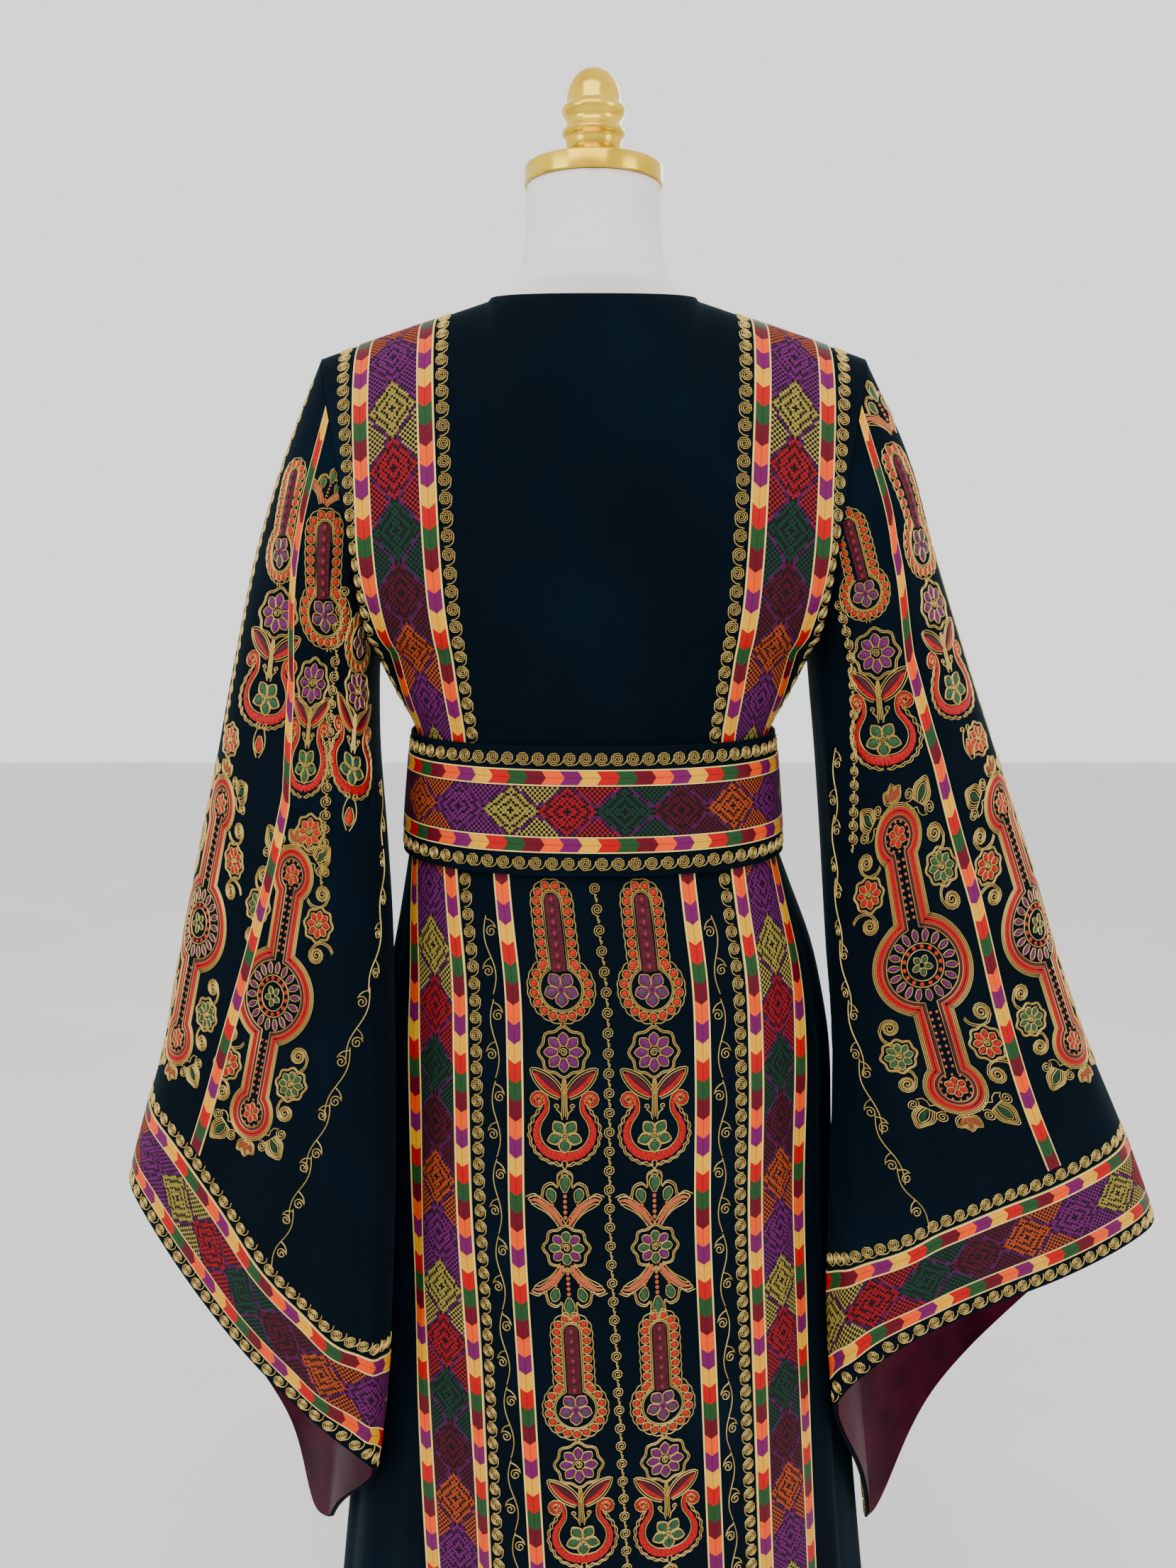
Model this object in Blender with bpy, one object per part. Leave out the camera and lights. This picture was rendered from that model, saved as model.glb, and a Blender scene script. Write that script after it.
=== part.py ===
"""Thobe dress in black velvet with embroidered bands, worn by a limbless dress form.

Metres, +Z up. The photographed back of the dress faces -Y and the wearer's right hand is at +X.
The origin is the centre of the underside of the stand's base.
"""
from collections import namedtuple
import math

import bpy
import numpy as np

MM = 0.001

# Cloth and trim
VELVET = 2.0 * MM
SATIN = 1.0 * MM
TAPE_THICK = 0.8 * MM
SEAM_GAP = 0.3 * MM

# Heights on the body
HEM_Z = 0.030
WAIST_SEAM_Z = 1.053
BELT_BOTTOM_Z = 1.007
BELT_TOP_Z = 1.098
CHEST_Z = 1.160
SHOULDER_TIP_Z = 1.370
NECK_POINT_Z = 1.409

# Half-widths and depths at the top of the body
CHEST_HALF = 0.167
SHOULDER_HALF = 0.196
NECK_HALF = 0.075
ROOT_BACK = 0.050
ROOT_BACK_Z = 1.412
ROOT_FRONT = 0.048
ROOT_FRONT_Z = 1.385
ARMHOLE_DEPTH = 0.080
ROUNDNESS = 2.3
OVER_SHOULDER = 2.6
NECKLINE_BACK_Z = 1.404
NECKLINE_FRONT_Z = 1.335

# Horizontal sections of the dress below the armpit. Centre is the shift towards +X, turn is how far
# the skirt's centre line has wandered round the section towards +X.
Section = namedtuple("Section", "z half back front centre turn")
SECTIONS = [
    Section(HEM_Z, 0.262, 0.192, 0.200, 0.006, 0.040),
    Section(0.200, 0.244, 0.182, 0.184, 0.006, 0.034),
    Section(0.360, 0.225, 0.172, 0.170, 0.006, 0.026),
    Section(0.500, 0.209, 0.163, 0.157, 0.007, 0.018),
    Section(0.640, 0.194, 0.154, 0.145, 0.008, 0.010),
    Section(0.760, 0.184, 0.146, 0.134, 0.008, 0.004),
    Section(0.870, 0.177, 0.136, 0.126, 0.009, 0.002),
    Section(0.930, 0.165, 0.125, 0.119, 0.008, 0.001),
    Section(0.980, 0.151, 0.112, 0.109, 0.003, 0.000),
    Section(1.010, 0.143, 0.102, 0.103, 0.000, 0.000),
    Section(WAIST_SEAM_Z, 0.136, 0.096, 0.097, 0.000, 0.000),
    Section(1.100, 0.136, 0.092, 0.096, 0.000, 0.000),
    Section(1.130, 0.152, 0.097, 0.107, 0.000, 0.000),
    Section(CHEST_Z, 0.167, 0.100, 0.117, 0.000, 0.000),
]

# Depth of the upper body against the height share from armpit (0) to shoulder (1)
Depth = namedtuple("Depth", "share back front")
DEPTHS = [
    Depth(0.00, 0.100, 0.117),
    Depth(0.20, 0.103, 0.121),
    Depth(0.45, 0.104, 0.113),
    Depth(0.75, 0.101, 0.100),
    Depth(1.00, 0.095, 0.088),
]

# Distance from the centre line to the bodice's inner gold trim, by height
TrimLine = namedtuple("TrimLine", "z x")
BODICE_TRIM = [
    TrimLine(WAIST_SEAM_Z, 0.086), TrimLine(1.104, 0.087), TrimLine(1.149, 0.092),
    TrimLine(1.198, 0.097), TrimLine(1.238, 0.099), TrimLine(1.315, 0.102), TrimLine(1.400, 0.106),
]
# Columns of the plain centre as shares of that distance, the last but one at the neck point
BODICE_CENTRE_PARTS = [0.0, 0.30, 0.53, 0.65, 0.71, 1.0]
# Edges of the bodice bands, from that trim outwards: tape, cross-stitch band, tape
BODICE_EDGES = [5.5 * MM, 17.5 * MM, 35.0 * MM, 52.5 * MM, 64.5 * MM]

# Edges of the skirt panels and their bands, from the centre line outwards
SKIRT_COLUMNS = [0, 20 * MM, 40 * MM, 61 * MM, 73 * MM, 88 * MM, 103 * MM, 115.5 * MM,
                 132 * MM, 148.5 * MM, 161 * MM, 164 * MM]
SKIRT_PANEL_HALF = SKIRT_COLUMNS[-1]
GORE_STEPS = 8
SEAM_REACH = 8 * MM
SKIRT_ROWS = [HEM_Z, 0.110, 0.220, 0.340, 0.470, 0.600, 0.730, 0.850, 0.920, 0.965, 1.009, WAIST_SEAM_Z]
BODICE_LOW_ROWS = [WAIST_SEAM_Z, 1.080, 1.104, 1.132, CHEST_Z]
BODICE_HIGH_ROWS = 8

# Soft flutes of the skirt: waves round the hem, share of the depth, and where the first one lies
Flute = namedtuple("Flute", "waves share phase")
FLUTES = [Flute(7, 0.6, 0.9), Flute(11, 0.4, 2.1)]
FLUTE_TOP_Z = 0.900
FLUTE_DEPTH = 9.0 * MM

# Belt, heights above its lower edge
BELT_LIFT = 2.9 * MM
BELT_THICK = 2.0 * MM
BELT_COLUMNS = 36
BELT_TAPE_LOWER = (16.5 * MM, 28.0 * MM)
BELT_BAND = (28.5 * MM, 63.0 * MM)
BELT_TAPE_UPPER = (63.5 * MM, 75.0 * MM)

# Cuff, distances above its lower edge
CUFF_TAPE_LOWER = (14.0 * MM, 25.75 * MM)
CUFF_BAND = (25.75 * MM, 61.5 * MM)
CUFF_TAPE_UPPER = (61.5 * MM, 73.5 * MM)
CUFF_TOP = 88.0 * MM
SLEEVE_COLUMNS_PER_SIDE = 12
SLEEVE_UPPER_ROWS = 8
LINING_ROWS = [0, 1, 2, 3, 5, 6, 7, 8]
LINING_INSET = 2.0 * MM
LINING_GAP = 1.0 * MM

# Sleeve guides, distances outwards from the body's middle plane. Outer is the fold at the side,
# under is the fold next to the body. The cloth between them bulges to back_y and front_y, hangs
# back_drop and front_drop below the line between the folds, and dips by tip at the lowest corner.
SleeveRing = namedtuple(
    "SleeveRing", "outer_x outer_z under_x under_z outer_y under_y back_y front_y "
    "back_out front_out back_drop front_drop sway tip_out tip_drop")
SLEEVE_LEFT = [
    SleeveRing(.226, 1.302, .166, 1.128, -.003, -.008, -.084, .080, 0, 0, 0, 0, 0, 0, 0),
    SleeveRing(.250, 1.232, .163, 1.080, -.006, -.028, -.091, .075, 0, 0, 0, 0, 0, 0, 0),
    SleeveRing(.270, 1.150, .156, 1.025, -.010, -.052, -.100, .069, 0, 0, 0, .005, 0, 0, 0),
    SleeveRing(.288, 1.070, .150, .965, -.014, -.074, -.108, .064, 0, 0, 0, .010, 0, 0, 0),
    SleeveRing(.306, .995, .147, .900, -.017, -.092, -.116, .060, 0, 0, 0, .018, 0, 0, 0),
    SleeveRing(.322, .925, .146, .830, -.019, -.104, -.124, .056, 0, 0, -.004, .030, 0, 0, .004),
    SleeveRing(.337, .858, .148, .745, -.020, -.111, -.129, .053, 0, .005, -.010, .050, 0, .006, .014),
    SleeveRing(.356, .795, .154, .640, -.020, -.110, -.126, .050, 0, .012, -.020, .085, 0, .014, .032),
    SleeveRing(.377, .724, .166, .515, -.020, -.100, -.115, .045, .004, .019, -.030, .130, 0, .026, .055),
]
SLEEVE_RIGHT = [
    SleeveRing(.229, 1.305, .168, 1.128, -.003, -.006, -.084, .080, 0, 0, 0, 0, 0, 0, 0),
    SleeveRing(.252, 1.233, .172, 1.078, -.006, -.016, -.088, .076, 0, 0, 0, 0, 0, 0, 0),
    SleeveRing(.281, 1.150, .175, 1.018, -.010, -.032, -.092, .071, 0, 0, 0, .005, 0, 0, 0),
    SleeveRing(.310, 1.072, .178, .952, -.014, -.048, -.096, .067, 0, 0, 0, .010, 0, 0, 0),
    SleeveRing(.338, .995, .181, .888, -.017, -.062, -.100, .064, 0, 0, -.004, .016, 0, 0, 0),
    SleeveRing(.364, .920, .181, .822, -.019, -.074, -.105, .061, 0, 0, -.010, .026, -.004, 0, .006),
    SleeveRing(.392, .850, .180, .745, -.020, -.083, -.108, .058, 0, 0, -.020, .042, -.008, 0, .020),
    SleeveRing(.425, .778, .178, .655, -.020, -.086, -.110, .055, 0, .004, -.038, .075, -.014, .006, .048),
    SleeveRing(.458, .696, .182, .545, -.020, -.085, -.110, .050, .005, .010, -.062, .110, -.020, .012, .078),
]
TIP_ANGLE = math.radians(225)
TIP_WIDTH = math.radians(24)
FINE_AROUND = 96
FINE_STEPS = 6

# Soft folds that run down each sleeve: where round the sleeve, how wide, how deep at the cuff
Fold = namedtuple("Fold", "angle width depth")
SLEEVE_FOLDS = [
    Fold(38, 13, 5.0 * MM), Fold(78, 17, -5.0 * MM), Fold(128, 15, 6.0 * MM),
    Fold(262, 18, -6.0 * MM), Fold(306, 14, 5.0 * MM),
]

# Distance of the sleeve's chevron tape from the outer fold, by share of the way down to the cuff
StripeLine = namedtuple("StripeLine", "share left right")
SLEEVE_STRIPE = [
    StripeLine(0.0, 0.080, 0.080), StripeLine(0.12, 0.116, 0.116), StripeLine(0.25, 0.146, 0.121),
    StripeLine(0.4, 0.156, 0.110), StripeLine(0.6, 0.138, 0.106), StripeLine(1.0, 0.110, 0.114),
]
SLEEVE_TAPE_WIDTH = 11.5 * MM

# Dress form and stand
FORM_BOTTOM_Z = 0.800
FormRow = namedtuple("FormRow", "z inset")
FORM_LOW = [
    FormRow(FORM_BOTTOM_Z, 16 * MM), FormRow(0.870, 15 * MM), FormRow(0.930, 13 * MM),
    FormRow(0.985, 8 * MM), FormRow(WAIST_SEAM_Z, 6 * MM), FormRow(1.104, 6 * MM), FormRow(CHEST_Z, 6 * MM),
]
FORM_NECK_PART = 0.388
FORM_ACROSS = [0.0, 0.13, 0.25, 0.335, FORM_NECK_PART, 0.52, 0.66, 0.79, 0.90, 0.97, 1.0]
SIDE_FLAT = 2.0 * MM
FormShoulder = namedtuple("FormShoulder", "share inset")
NECK_EASE = 6.5 * MM
NECK_EASE_TO = 0.6
FORM_HIGH = [FormShoulder(0.0, 5.5 * MM), FormShoulder(0.7, 5.0 * MM), FormShoulder(0.94, 3.4 * MM),
             FormShoulder(1.0, 2.7 * MM)]
NeckRing = namedtuple("NeckRing", "z half depth centre_y")
NECK = [
    NeckRing(1.418, 0.0600, 0.0500, 0.000), NeckRing(1.430, 0.0545, 0.0500, 0.001),
    NeckRing(1.452, 0.0495, 0.0485, 0.003), NeckRing(1.489, 0.0478, 0.0478, 0.004),
]
NECK_AXIS_Y = 0.004
CAP_PROFILE = [(0.0, 1.4893), (0.0500, 1.4893), (0.0500, 1.5005), (0.0485, 1.5022), (0.0, 1.5032)]
FINIAL_PROFILE = [
    (0.0, 1.5035), (0.0120, 1.5035), (0.0130, 1.5060), (0.0170, 1.5110), (0.0225, 1.5180),
    (0.0230, 1.5215), (0.0192, 1.5270), (0.0225, 1.5330), (0.0230, 1.5390), (0.0198, 1.5450),
    (0.0185, 1.5520), (0.0150, 1.5600), (0.0085, 1.5655), (0.0, 1.5672)]
POLE_RADIUS = 0.0125
BASE_PROFILE = [(0.0, 0.0), (0.1500, 0.0), (0.1520, 0.0030), (0.1480, 0.0090), (0.0600, 0.0150),
                (0.0240, 0.0240), (0.0, 0.0240)]
BASE_TOP_Z = 0.0240

LEFT = -1
RIGHT = 1
BACK = -1
FRONT = 1


def hermite(knots, values, at):
    """Smooth curve through the knots, with slopes from the neighbours on both sides."""
    knots = np.asarray(knots, float)
    values = np.asarray(values, float)
    slopes = np.gradient(values, knots)
    at = np.clip(np.asarray(at, float), knots[0], knots[-1])
    i = np.clip(np.searchsorted(knots, at) - 1, 0, len(knots) - 2)
    step = knots[i + 1] - knots[i]
    t = (at - knots[i]) / step
    return ((2 * t**3 - 3 * t**2 + 1) * values[i] + (t**3 - 2 * t**2 + t) * step * slopes[i]
            + (3 * t**2 - 2 * t**3) * values[i + 1] + (t**3 - t**2) * step * slopes[i + 1])


def column(rows, name):
    return [getattr(row, name) for row in rows]


def section_value(name, z):
    return hermite(column(SECTIONS, "z"), column(SECTIONS, name), z)


def unit(vectors):
    return vectors / np.maximum(np.linalg.norm(vectors, axis=-1, keepdims=True), 1e-12)


def along(points, distances):
    """Points at the given distances along a polyline."""
    points = np.asarray(points, float)
    steps = np.linalg.norm(np.diff(points, axis=0), axis=1)
    reach = np.concatenate([[0.0], np.cumsum(steps)])
    return np.stack([np.interp(distances, reach, points[:, k]) for k in range(3)], axis=1)


def length(points):
    return float(np.linalg.norm(np.diff(points, axis=0), axis=1).sum())


def flute_lift(angle, z):
    """How far a flute lifts the skirt outwards, deeper towards the hem."""
    grow = np.clip((FLUTE_TOP_Z - z) / (FLUTE_TOP_Z - HEM_Z), 0, 1) ** 1.5
    wave = sum(f.share * np.cos(f.waves * angle + f.phase) for f in FLUTES)
    return FLUTE_DEPTH * grow * wave


def ring(z, lift=0.0, samples=240):
    """Closed section of the dress at one height, from the middle of the back towards +X."""
    half = section_value("half", z) + lift
    back = section_value("back", z) + lift
    front = section_value("front", z) + lift
    angle = np.linspace(0, 2 * np.pi, samples + 1)
    power = 2 / ROUNDNESS
    sin = np.sin(angle)
    cos = np.cos(angle)
    x = np.sign(sin) * np.abs(sin) ** power * half
    y = -np.sign(cos) * np.abs(cos) ** power * np.where(cos > 0, back, front)
    swell = 1 + flute_lift(angle, z) / np.hypot(x, y)
    return np.stack([x * swell + section_value("centre", z), y * swell, np.full_like(x, z)], axis=1)


def skirt_rows(positions):
    """Skirt points and normals row by row. Positions gives the distances round from the centre back.
    The normals are taken over a short reach round the ring, so that neighbouring panels agree."""
    grid = []
    across = []
    for z in SKIRT_ROWS:
        loop = ring(z)
        around = length(loop)
        wanted = positions(around) + float(section_value("turn", z)) + around
        twice = np.concatenate([loop[:-1], loop])
        grid.append(along(twice, wanted))
        across.append(along(twice, wanted + SEAM_REACH) - along(twice, wanted - SEAM_REACH))
    grid = np.array(grid)
    return grid, unit(np.cross(np.array(across), np.gradient(grid, axis=0)))


def skirt_panel(share):
    """Back (share 0) or front (share 0.5) panel of the skirt, with its columns on the band edges."""
    marks = np.array([-m for m in SKIRT_COLUMNS[:0:-1]] + SKIRT_COLUMNS)
    return skirt_rows(lambda around: share * around + marks)


def skirt_gore(share):
    """Side gore that starts at the right edge of the panel with that share."""
    edge = SKIRT_PANEL_HALF + SEAM_GAP
    return skirt_rows(lambda around: np.linspace(share * around + edge, (share + 0.5) * around - edge,
                                                 GORE_STEPS))


def upper_body(x, share, side, inset=0.0):
    """Point of the upper body: x across, share of the height from armpit to shoulder, back or front."""
    width = chest_width(share) - inset
    across = min(abs(x) / width, 1.0)
    depth = float(hermite(column(DEPTHS, "share"), column(DEPTHS, "back" if side == BACK else "front"),
                          share)) - inset
    arm = (ARMHOLE_DEPTH - inset) * math.sqrt(1 - (1 - min(share / 0.45, 1)) ** 2)
    wall = arm + (depth - arm) * (1 - across**ROUNDNESS) ** (1 / ROUNDNESS)
    root = ROOT_BACK if side == BACK else ROOT_FRONT
    root_z = ROOT_BACK_Z if side == BACK else ROOT_FRONT_Z
    top_x = across * (SHOULDER_HALF - inset)
    neck = math.sqrt(max(0.0, 1 - (top_x / NECK_HALF) ** 2))
    slope = max(0.0, top_x - NECK_HALF) / (SHOULDER_HALF - NECK_HALF)
    top_z = NECK_POINT_Z + (root_z - NECK_POINT_Z) * neck - (NECK_POINT_Z - SHOULDER_TIP_Z) * slope - inset
    top_y = (root - inset) * neck
    over = (1 - share**OVER_SHOULDER) ** (1 / OVER_SHOULDER)
    y = side * (top_y + (wall - top_y) * over)
    return np.array([x, y, CHEST_Z + (top_z - CHEST_Z) * share])


def neckline_share(x, side):
    """Share of the height where the cloth ends: the neckline in the middle, 1 over the shoulder."""
    top_x = abs(x)
    if top_x >= NECK_HALF * 0.999:
        return 1.0
    low = NECKLINE_BACK_Z if side == BACK else NECKLINE_FRONT_Z
    root_z = ROOT_BACK_Z if side == BACK else ROOT_FRONT_Z
    neck = math.sqrt(1 - (top_x / NECK_HALF) ** 2)
    edge_z = NECK_POINT_Z + (low - NECK_POINT_Z) * neck
    top_z = NECK_POINT_Z + (root_z - NECK_POINT_Z) * neck
    return (edge_z - CHEST_Z) / (top_z - CHEST_Z)


def high_shares():
    """Rows from armpit to shoulder, closer together where the cloth turns over the shoulder."""
    turn = (np.arange(1, BODICE_HIGH_ROWS + 1) / BODICE_HIGH_ROWS) ** 1.3 * math.pi / 2
    return np.sin(turn) ** (2 / OVER_SHOULDER)


def bodice_row_low(z, side):
    loop = ring(z)
    half = len(loop) // 2
    if side == BACK:
        return loop[:half // 2 + 1]
    return loop[half:half // 2 - 1:-1]


def chest_width(share):
    return CHEST_HALF + (SHOULDER_HALF - CHEST_HALF) * share**2.1


def bodice_row_high(share, side):
    across = np.sin(np.linspace(0, math.pi / 2, 90)) * chest_width(share)
    return np.array([upper_body(x, share, side) for x in across])


def bodice_row(fine, z, share, side):
    """One row of half a bodice panel, from the centre line to the side or armhole."""
    trim_x = float(np.interp(z, column(BODICE_TRIM, "z"), column(BODICE_TRIM, "x")))
    reach = np.concatenate([[0], np.cumsum(np.linalg.norm(np.diff(fine, axis=0), axis=1))])
    row = []
    for part in BODICE_CENTRE_PARTS:
        if share is None:
            row.append(along(fine, [np.interp(part * trim_x, fine[:, 0], reach)])[0])
        else:
            end = neckline_share(part * BODICE_TRIM[-1].x, side)
            row.append(upper_body(part * trim_x, share * end, side))
    base = float(np.interp(trim_x, fine[:, 0], reach))
    outer = [base + edge for edge in BODICE_EDGES]
    outer.append((outer[-1] + reach[-1]) / 2)
    outer.append(reach[-1])
    row.extend(along(fine, outer))
    return row


def bodice_half(side):
    """Grid of one half of the bodice front or back."""
    rows = [bodice_row(bodice_row_low(z, side), z, None, side) for z in BODICE_LOW_ROWS]
    for share in high_shares():
        z = CHEST_Z + (NECK_POINT_Z - CHEST_Z) * share
        rows.append(bodice_row(bodice_row_high(share, side), z, share, side))
    return np.array(rows)


def mirrored(half_grid):
    """Both halves of a grid whose first column is the centre line."""
    other = half_grid[:, :0:-1] * np.array([-1.0, 1.0, 1.0])
    return np.concatenate([other, half_grid], axis=1)


def grid_normals(grid, wrap):
    """Unit normals of a grid whose rows go up and whose columns go towards +X on the back."""
    if wrap:
        across = np.roll(grid, -1, axis=1) - np.roll(grid, 1, axis=1)
    else:
        across = np.gradient(grid, axis=1)
    return unit(np.cross(across, np.gradient(grid, axis=0)))


def make_material(name, colour, roughness, metallic=0.0):
    material = bpy.data.materials.new(name)
    material.use_nodes = True
    shader = material.node_tree.nodes["Principled BSDF"]
    shader.inputs["Base Color"].default_value = (*colour, 1.0)
    shader.inputs["Roughness"].default_value = roughness
    shader.inputs["Metallic"].default_value = metallic
    return material


def add_object(name, vertices, faces, material):
    mesh = bpy.data.meshes.new(name)
    mesh.from_pydata([tuple(v) for v in vertices], [], faces)
    mesh.validate()
    mesh.shade_smooth()
    mesh.set_sharp_from_angle(angle=math.radians(50))
    mesh.materials.append(material)
    thing = bpy.data.objects.new(name, mesh)
    bpy.context.scene.collection.objects.link(thing)
    return thing


def add_wall(name, outside, inside, material, wrap=False):
    """Closed wall between an outer and an inner grid of the same size."""
    rows, cols = outside.shape[:2]
    count = rows * cols
    vertices = np.concatenate([outside.reshape(-1, 3), inside.reshape(-1, 3)])
    faces = []
    spans = cols if wrap else cols - 1
    for r in range(rows - 1):
        for c in range(spans):
            a = r * cols + c
            b = r * cols + (c + 1) % cols
            d = a + cols
            e = b + cols
            faces.append((a, b, e, d))
            faces.append((count + a, count + d, count + e, count + b))
    for c in range(spans):
        a = c
        b = (c + 1) % cols
        faces.append((b, a, count + a, count + b))
        a += (rows - 1) * cols
        b += (rows - 1) * cols
        faces.append((a, b, count + b, count + a))
    if not wrap:
        for r in range(rows - 1):
            a = r * cols
            b = a + cols
            faces.append((a, b, count + b, count + a))
            a += cols - 1
            b += cols - 1
            faces.append((b, a, count + a, count + b))
    return add_object(name, vertices, faces, material)


def add_panel(name, grid, normals, thickness, material, wrap=False):
    return add_wall(name, grid, grid - normals * thickness, material, wrap)


def add_strip(name, grid, normals, rows, cols, material, wrap=False):
    """Trim sewn on a panel: some of the panel's points, moved out by the gap and the thickness."""
    points = grid[rows[0]:rows[1] + 1]
    out = normals[rows[0]:rows[1] + 1]
    if not wrap:
        points = points[:, cols[0]:cols[1] + 1].copy()
        out = out[:, cols[0]:cols[1] + 1].copy()
        width = np.linalg.norm(points[:, 1] - points[:, 0], axis=1, keepdims=True)
        share = SEAM_GAP / 2 / width
        for values in (points, out):
            first = values[:, 0] + (values[:, 1] - values[:, 0]) * share
            last = values[:, -1] + (values[:, -2] - values[:, -1]) * share
            values[:, 0] = first
            values[:, -1] = last
    return add_wall(name, points + out * (SEAM_GAP + TAPE_THICK), points + out * SEAM_GAP, material, wrap)


def lathe(name, profile, material, centre_y=0.0, sides=32):
    """Turned piece: a profile of radius and height that starts and ends on the axis, bottom first."""
    vertices = [(0.0, centre_y, profile[0][1])]
    for radius, z in profile[1:-1]:
        for k in range(sides):
            turn = 2 * math.pi * k / sides
            vertices.append((radius * math.cos(turn), centre_y + radius * math.sin(turn), z))
    vertices.append((0.0, centre_y, profile[-1][1]))
    faces = []
    last = len(vertices) - 1
    rings = len(profile) - 2
    for k in range(sides):
        n = (k + 1) % sides
        faces.append((0, 1 + n, 1 + k))
        for r in range(rings - 1):
            a = 1 + r * sides
            b = a + sides
            faces.append((a + k, a + n, b + n, b + k))
        top = 1 + (rings - 1) * sides
        faces.append((top + k, top + n, last))
    return add_object(name, vertices, faces, material)


def build_bodice(side, tag, paint):
    """One bodice panel, with its two bands of tape, cross-stitch band and tape."""
    half = bodice_half(side)
    seam = np.abs(half[:, -1, 1]) < SEAM_GAP / 2
    half[seam, -1, 1] = side * SEAM_GAP / 2
    half[-1, 4:, 1] = side * SEAM_GAP / 2
    half[0, :, 2] += SEAM_GAP / 2
    grid = mirrored(half)
    if side == FRONT:
        grid = grid[:, ::-1]
    normals = grid_normals(grid, False)
    low = len(BODICE_LOW_ROWS)
    for edge in (0, -1):
        normals[:low, edge, 1] = 0
    normals[-1, np.abs(grid[-1, :, 0]) > NECK_HALF * 0.98, 1] = 0
    normals = unit(normals)
    add_panel(f"bodice_{tag}", grid, normals, VELVET, paint["velvet"])
    centre = (grid.shape[1] - 1) // 2
    spans = (("tape_inner", 6, 7), ("band", 7, 9), ("tape_outer", 9, 10))
    add_bands(f"bodice_{tag}", grid, normals, centre, spans, side, paint)


def add_bands(name, grid, normals, centre, spans, side, paint):
    """Strips on both halves of a panel, placed by columns counted from the centre line."""
    for hand, label in ((LEFT, "left"), (RIGHT, "right")):
        flip = -hand if side == FRONT else hand
        for piece, first, last in spans:
            cols = sorted((centre + flip * first, centre + flip * last))
            kind = "cross_stitch" if piece == "band" else "tape"
            add_strip(f"{name}_{piece}_{label}", grid, normals, (0, len(grid) - 1), cols, paint[kind])


def build_skirt(paint):
    """Four skirt panels and the bands on the back and front ones."""
    panels = {
        "skirt_back": skirt_panel(0),
        "skirt_side_right": skirt_gore(0),
        "skirt_front": skirt_panel(0.5),
        "skirt_side_left": skirt_gore(0.5),
    }
    spans = [("tape_mid", 6, 7), ("band", 7, 9), ("tape_edge", 9, 10)]
    centre = len(SKIRT_COLUMNS) - 1
    for name, (grid, normals) in panels.items():
        grid[-1, :, 2] -= SEAM_GAP / 2
        add_panel(name, grid, normals, VELVET, paint["velvet"])
        if name == "skirt_back":
            add_bands(name, grid, normals, centre, [("tape_centre", 3, 4)] + spans, BACK, paint)
        if name == "skirt_front":
            add_bands(name, grid, normals, centre, spans, FRONT, paint)


def belt_grid(heights, lift):
    rows = []
    for height in heights:
        z = BELT_BOTTOM_Z + height
        share = height / (BELT_TOP_Z - BELT_BOTTOM_Z)
        ends = []
        for end_z in (BELT_BOTTOM_Z, BELT_TOP_Z):
            loop = ring(end_z, lift)
            ends.append(along(loop, np.arange(BELT_COLUMNS) / BELT_COLUMNS * length(loop)))
        row = ends[0] * (1 - share) + ends[1] * share
        row[:, 2] = z
        rows.append(row)
    return np.array(rows)


def build_belt(paint):
    """Belt all round the waist, with a cross-stitch band between two chevron tapes."""
    tall = BELT_TOP_Z - BELT_BOTTOM_Z
    outside = belt_grid([0, tall], BELT_LIFT + BELT_THICK)
    inside = belt_grid([0, tall], BELT_LIFT)
    add_wall("belt", outside, inside, paint["velvet"], wrap=True)
    normals = grid_normals(outside, True)
    strips = (("belt_tape_lower", BELT_TAPE_LOWER, "tape"), ("belt_band", BELT_BAND, "cross_stitch"),
              ("belt_tape_upper", BELT_TAPE_UPPER, "tape"))
    for name, heights, kind in strips:
        shares = [h / tall for h in heights]
        grid = np.array([outside[0] * (1 - s) + outside[1] * s for s in shares])
        out = np.array([normals[0] * (1 - s) + normals[1] * s for s in shares])
        add_strip(name, grid, out, (0, 1), None, paint[kind], wrap=True)


def armhole_loop(angle):
    """Edge of the armhole for the angles round the sleeve: 0 at the shoulder, 90 degrees at the back."""
    loop = []
    for turn in angle:
        share = 0.5 + 0.5 * math.cos(turn)
        side = BACK if math.sin(turn) >= 0 else FRONT
        loop.append(upper_body(chest_width(share), share, side))
    return np.array(loop)


def sleeve_ring(guide, angle):
    """Closed ring through the four guide points, with the sway and the dip of the lowest corner."""
    outer = np.array([guide.outer_x, guide.outer_y, guide.outer_z])
    under = np.array([guide.under_x, guide.under_y, guide.under_z])
    middle = (outer + under) / 2
    back = np.array([middle[0] + guide.back_out, guide.back_y, middle[2] - guide.back_drop])
    front = np.array([middle[0] + guide.front_out, guide.front_y, middle[2] - guide.front_drop])
    cos = np.cos(angle)[:, None]
    sin = np.sin(angle)[:, None]
    points = ((outer + under + back + front) / 4 + cos * (outer - under) / 2 + sin * (back - front) / 2
              + np.cos(2 * angle)[:, None] * (outer + under - back - front) / 4)
    points[:, 2] += guide.sway * np.sin(2 * angle)
    dip = np.exp(-((angle - TIP_ANGLE) / TIP_WIDTH) ** 2)
    points[:, 0] += guide.tip_out * dip
    points[:, 2] -= guide.tip_drop * dip
    return points


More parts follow.
